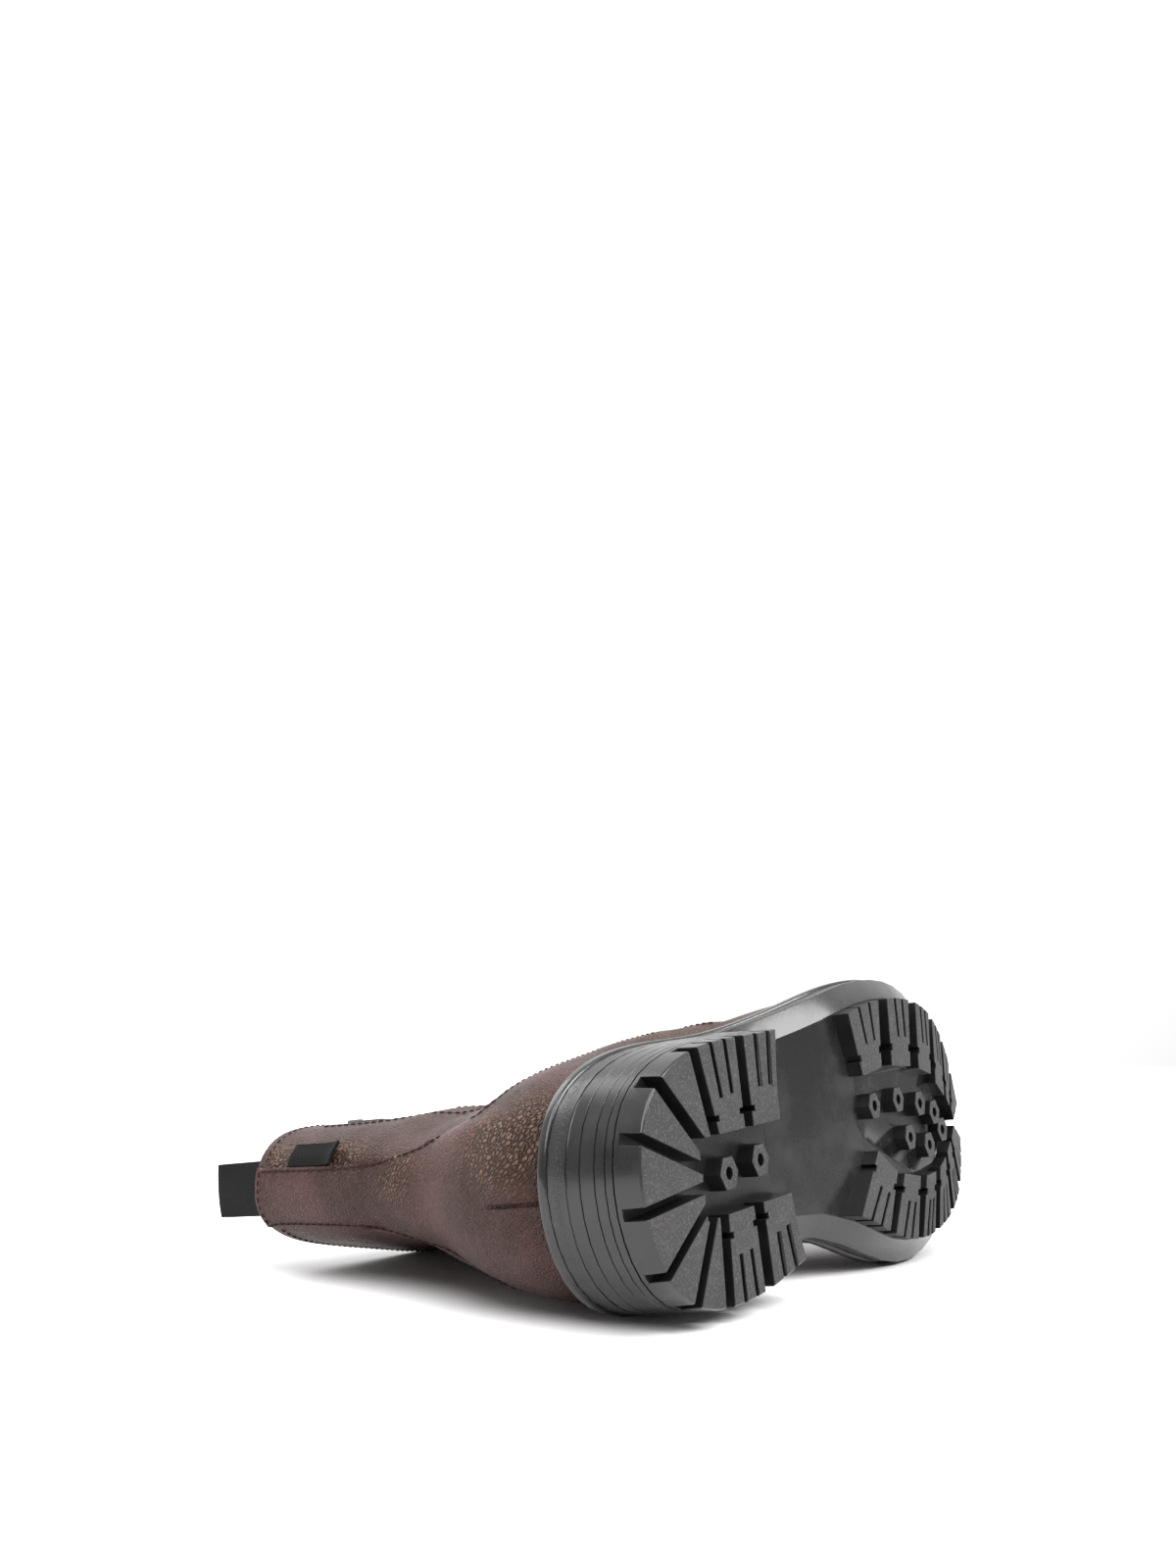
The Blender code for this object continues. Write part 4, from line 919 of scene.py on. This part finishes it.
def make_dish(gloss):
    """Polished bowl in the dish, with a fine raised rim, shaded hollowest at the toe's inner side."""
    line = [Vector((disc.x, disc.y)) for disc in DISH]
    spots = []
    for disc, centre in zip(DISH, line):
        for step in range(BOWL_STEPS):
            turn = math.tau * step / BOWL_STEPS
            spots.append(centre + disc.radius * Vector((math.cos(turn), math.sin(turn))))
    plan = [spots[index] for index in convex_hull_2d(spots)]
    middles = [nearest_on(spot, line) for spot in plan]
    bm = bmesh.new()
    lean = {}
    rings = []
    for share in BOWL_RINGS:
        ring = []
        for spot, middle in zip(plan, middles):
            out = spot - middle
            at = middle + out * share
            height = height_at(at.x, BASE) + BOWL_DEPTH * (1 - share ** 2)
            if share == BOWL_RINGS[1]:
                height -= RIM_RISE
            vert = bm.verts.new(from_boot((at.x, at.y, height)))
            steep = max(out.normalized().dot(BOWL_WAY), 0.0)
            lean[vert] = BOWL_TIP - out.normalized() * (2 * BOWL_LEAN * steep * share / out.length)
            ring.append(vert)
        rings.append(ring)
    for outer, inner in zip(rings, rings[1:]):
        for index in range(len(plan)):
            bm.faces.new((outer[index - 1], outer[index], inner[index], inner[index - 1]))
    facing = [BOOT.to_3x3() @ Vector((lean[vert].x, lean[vert].y, -1.0)).normalized() for vert in bm.verts]
    bmesh.ops.recalc_face_normals(bm, faces=bm.faces)
    if sum((face.normal for face in bm.faces), Vector()).dot(Vector(AXES[:, 2])) > 0:
        bmesh.ops.reverse_faces(bm, faces=bm.faces)
    mesh = to_mesh(bm, "dish_bowl")
    mesh.shade_smooth()
    mesh.normals_split_custom_set_from_vertices(facing)
    piece("dish_bowl", mesh, gloss, smooth=None)


def nearest_on(spot, line):
    """Nearest point of a broken line."""
    found = []
    for a, b in zip(line, line[1:]):
        share = (spot - a).dot(b - a) / (b - a).length_squared
        found.append(a.lerp(b, min(max(share, 0.0), 1.0)))
    return min(found, key=lambda at: (at - spot).length)


def make_sole(side, lip, tread):
    coats = tread, side, rubber_between()
    lift = moulded("heel_lift", lift_rounding)
    piece("heel_lift_rubber", lift, coats, "heel_lift", smooth=None)
    mark_tread(lift)
    plate = moulded("sole_plate", plate_rounding, PLATE_SHARP)
    piece("sole_plate_rubber", plate, coats, "sole_plate", smooth=None)
    mark_tread(plate)
    make_dish(rubber_dish())
    block = moulded("heel_block")
    mark_band(block)
    piece("heel_block_rubber", block, side, "heel_block", smooth=None)
    piece("welt_rubber", smooth_shell("welt", LEVELS, crease=0.0), lip, "welt", smooth=SOFT_TAPE)


# Webbing, zip and insole

def unwrap_by(mesh, across, along):
    """UV map in millimetres along two directions of the boot."""
    layer = mesh.uv_layers.new(name="run")
    boot = in_boot(positions(mesh))
    flat = np.column_stack((boot @ np.asarray(across, float), boot @ np.asarray(along, float)))
    corners = np.empty(len(mesh.loops), np.int32)
    mesh.loops.foreach_get("vertex_index", corners)
    layer.data.foreach_set("uv", flat[corners].astype(np.float32).ravel())


CURL_REACH = 5.0
CURL = 1.2


def curl_end(mesh):
    """Lifts the lower end of the tab off the leather."""
    hidden = point_values(mesh, "inside") > 0.5
    outward = normals(mesh)[~hidden].mean(axis=0)
    points = positions(mesh)
    height = in_boot(points)[:, 2]
    lift = np.clip((height.min() + CURL_REACH - height) / CURL_REACH, 0, 1) ** 2
    set_positions(mesh, points + lift[:, None] * outward / np.linalg.norm(outward) * CURL * MM)


def make_webbing(tape):
    for node in ("pull_loop", "side_tab"):
        mesh = smooth_shell(node, LEVELS, crease=1.0)
        if node == "side_tab":
            curl_end(mesh)
        unwrap_by(mesh, (0, 1, 0), (0, 0, 1))
        piece(node + "_webbing", mesh, tape, node, smooth=SOFT_TAPE)


RIDGE_SLACK = 0.3
CHAIN_FOOT = 8.0
CHAIN_TOP = 0.6
CHAIN_CUTS = 30


def zip_line():
    """Places along the closed chain: the middle of its top, and the way across it."""
    bm = node_shape("zip_tape")
    heights = in_boot([vert.co for vert in bm.verts])[:, 2]
    levels = np.linspace(heights.min() + CHAIN_FOOT, heights.max() - CHAIN_TOP, CHAIN_CUTS)
    up = Vector(AXES[:, 2])
    frames = []
    for level in levels:
        copy = bm.copy()
        geometry = list(copy.verts) + list(copy.edges) + list(copy.faces)
        made = bmesh.ops.bisect_plane(
            copy, geom=geometry, dist=WELD, plane_co=from_boot((0, 0, level)), plane_no=up)["geom_cut"]
        cut = in_boot([vert.co for vert in made if isinstance(vert, bmesh.types.BMVert)])
        middle = cut.mean(axis=0)
        wide = np.linalg.svd(cut - middle)[2][0]
        out = np.cross(wide, (0, 0, 1))
        rise = (cut - middle) @ out * (-1 if out[1] > 0 else 1)
        top = cut[rise > rise.max() - RIDGE_SLACK]
        left = from_boot(top[np.argmin(top[:, 0])])
        right = from_boot(top[np.argmax(top[:, 0])])
        frames.append(((left + right) / 2, (right - left).normalized()))
        copy.free()
    bm.free()
    return frames


TOOTH_PITCH = 1.6
TOOTH_SIZE = (2.7, 1.0, 0.9)
TOOTH_ROUND = 0.22
TOOTH_SHIFT = 0.55
TOOTH_RISE = 0.15
METAL_ROUND = 0.2


def make_zip(tape, metal):
    """Tape with its teeth, slider and pull."""
    mesh = to_mesh(node_shape("zip_tape", quads=True), "zip_tape_webbing")
    unwrap_by(mesh, (1, 0, 0), (0, 0, 1))
    piece("zip_tape_webbing", mesh, tape, "zip_tape", smooth=40.0)
    frames = zip_line()
    bm = bmesh.new()
    left = 0.0
    side = 1
    for (a, across_a), (b, across_b) in zip(frames, frames[1:]):
        length = (b - a).length
        while left < length:
            share = left / length
            across = across_a.lerp(across_b, share).normalized()
            up = (b - a).normalized()
            out = up.cross(across).normalized()
            if out.dot(Vector(AXES[:, 1])) > 0:
                out = -out
            spot = a.lerp(b, share) + (across * side * TOOTH_SHIFT + out * TOOTH_RISE) * MM
            turn = Matrix((across, up, out)).transposed().to_4x4()
            size = Matrix.Diagonal((*(part * MM for part in TOOTH_SIZE), 1))
            place = Matrix.Translation(spot) @ turn @ size
            made = bmesh.ops.create_cube(bm, size=1.0, matrix=place)["verts"]
            bmesh.ops.bevel(
                bm, geom=list({edge for vert in made for edge in vert.link_edges}), offset=TOOTH_ROUND * MM,
                affect="EDGES", segments=1, profile=0.5, material=-1)
            side = -side
            left += TOOTH_PITCH / 2 * MM
        left -= length
    bmesh.ops.recalc_face_normals(bm, faces=bm.faces)
    piece("zip_teeth", to_mesh(bm, "zip_teeth"), metal, smooth=30.0)
    for node, body in (("zip_slider", "boot"), ("zip_pull", "pull")):
        piece(node + "_metal", moulded(node, lambda at: METAL_ROUND), metal, node, body=body, smooth=None)


# Seam beside the zip, from the collar down
PLACKET = (
    (25.0, -23.1, 146.0), (28.2, -23.1, 128.0), (32.5, -23.4, 115.0), (37.5, -23.8, 106.0),
    (40.8, -24.0, 97.0), (42.5, -24.3, 87.0))
# How far the stitches lie from an edge, where the strip's begin, and the room they leave beside it
STRIP_DRAW = 1.3
STRIP_FOOT = 40.0
COLLAR_DRAW = 3.2
STRIP_ROOM = 2.5
INSOLE_ROUND = 0.6


def make_boot():
    hide = leather()
    # the second material is the painted shade of the ribbon under the stitches
    threads = thread(), pulled_seam()
    tape = webbing("black_webbing", (0.006, 0.006, 0.0064))
    shell = make_upper(hide, lining())
    strip = make_strip(hide, cut_edge())
    over_strip = surface_of(strip)
    places = sewn_line(outlines("back_strip")[0], STRIP_DRAW, over_strip, lambda at: at[2] > STRIP_FOOT)
    sew("strip_stitches", places, threads)
    over_upper = surface_of(shell)
    collar = max(outlines("upper"), key=lambda line: max(in_boot(spot)[2] for spot, _ in line))
    places = sewn_line(collar, COLLAR_DRAW, over_upper, lambda at: True)
    places = [place for place in places if over_strip.find_nearest(place[0])[3] > STRIP_ROOM * MM]
    sew("collar_stitches", places, threads)
    placket = [(from_boot(spot), Vector()) for spot in PLACKET]
    places = sewn_line(placket, 0.0, over_upper, lambda at: True, closed=False)
    sew("placket_stitches", places, threads)
    make_sole(rubber_side(), rubber_lip(), rubber_tread())
    make_webbing(tape)
    make_zip(webbing("zip_webbing", (0.013, 0.012, 0.012)), gunmetal())
    cover = moulded("insole", lambda at: INSOLE_ROUND)
    piece("insole_cover", cover, felt(), "insole", smooth=None)


# Studio

def white_paper():
    shade = finish("white_paper", specular_ior_level=0.0)
    cloud = shade.noise(shade.place(), 3.0)
    shade.feed("Base Color", shade.mix(cloud, (0.93, 0.93, 0.935), (0.95, 0.95, 0.95)))
    shade.feed("Roughness", 0.9)
    return shade.holder


FLOOR = 6.0


def studio():
    """Wide floor of pale paper."""
    bm = bmesh.new()
    bmesh.ops.create_circle(bm, cap_ends=True, segments=64, radius=FLOOR)
    mesh = to_mesh(bm, "floor")
    mesh.materials.append(white_paper())
    obj = bpy.data.objects.new("floor", mesh)
    bpy.context.scene.collection.objects.link(obj)


Lamp = namedtuple("Lamp", "name x y z spread strength")
LAMPS = (
    Lamp("key", -0.42, -0.36, 0.83, 60.0, 3.7),
    Lamp("back", 0.12, 0.74, 0.66, 36.0, 0.7),
    Lamp("front", 0.38, -0.66, 0.65, 30.0, 2.1),
)
# The tent's brightest side, the span over which it brightens, and its two strengths
TENT_WAY = (0.30, 0.72, 0.62)
TENT_SPAN = (0.15, 0.55)
TENT_TONES = (0.36, 1.08)


def lights():
    """Soft lamps in a white tent that is brightest behind the boot."""
    for lamp in LAMPS:
        data = bpy.data.lights.new(lamp.name, "SUN")
        data.angle = math.radians(lamp.spread)
        data.energy = lamp.strength
        obj = bpy.data.objects.new(lamp.name, data)
        obj.location = (lamp.x, lamp.y, lamp.z)
        obj.rotation_euler = (-obj.location).to_track_quat("-Z", "Y").to_euler()
        bpy.context.scene.collection.objects.link(obj)
    world = bpy.data.worlds.new("tent")
    shade = Shade(world, "Background", color=(1.0, 1.0, 1.0, 1.0))
    way = shade.node("ShaderNodeTexCoord", {}, {}, "Generated")
    shade.feed("Strength", shade.ease(shade.along(way, TENT_WAY), *TENT_SPAN, *TENT_TONES))
    bpy.context.scene.world = world


# The photograph's view, in the boot's own frame
EYE = (-338.1, -44.6, -223.5)
RIGHT = (0.5684, 0.1141, -0.8148)
FORWARD = (0.8189, -0.1742, 0.5469)
LENS = 32.26
SENSOR = 36.0


def camera():
    data = bpy.data.cameras.new("camera")
    data.lens = LENS
    data.sensor_width = SENSOR
    data.clip_start = 0.01
    obj = bpy.data.objects.new("camera", data)
    turn = BOOT.to_3x3()
    right = (turn @ Vector(RIGHT)).normalized()
    back = -(turn @ Vector(FORWARD)).normalized()
    up = back.cross(right)
    obj.matrix_world = Matrix.Translation(from_boot(EYE)) @ Matrix((right, up, back)).transposed().to_4x4()
    bpy.context.scene.collection.objects.link(obj)
    bpy.context.scene.camera = obj


make_boot()
studio()
lights()
camera()
bpy.context.scene.view_settings.view_transform = "Standard"
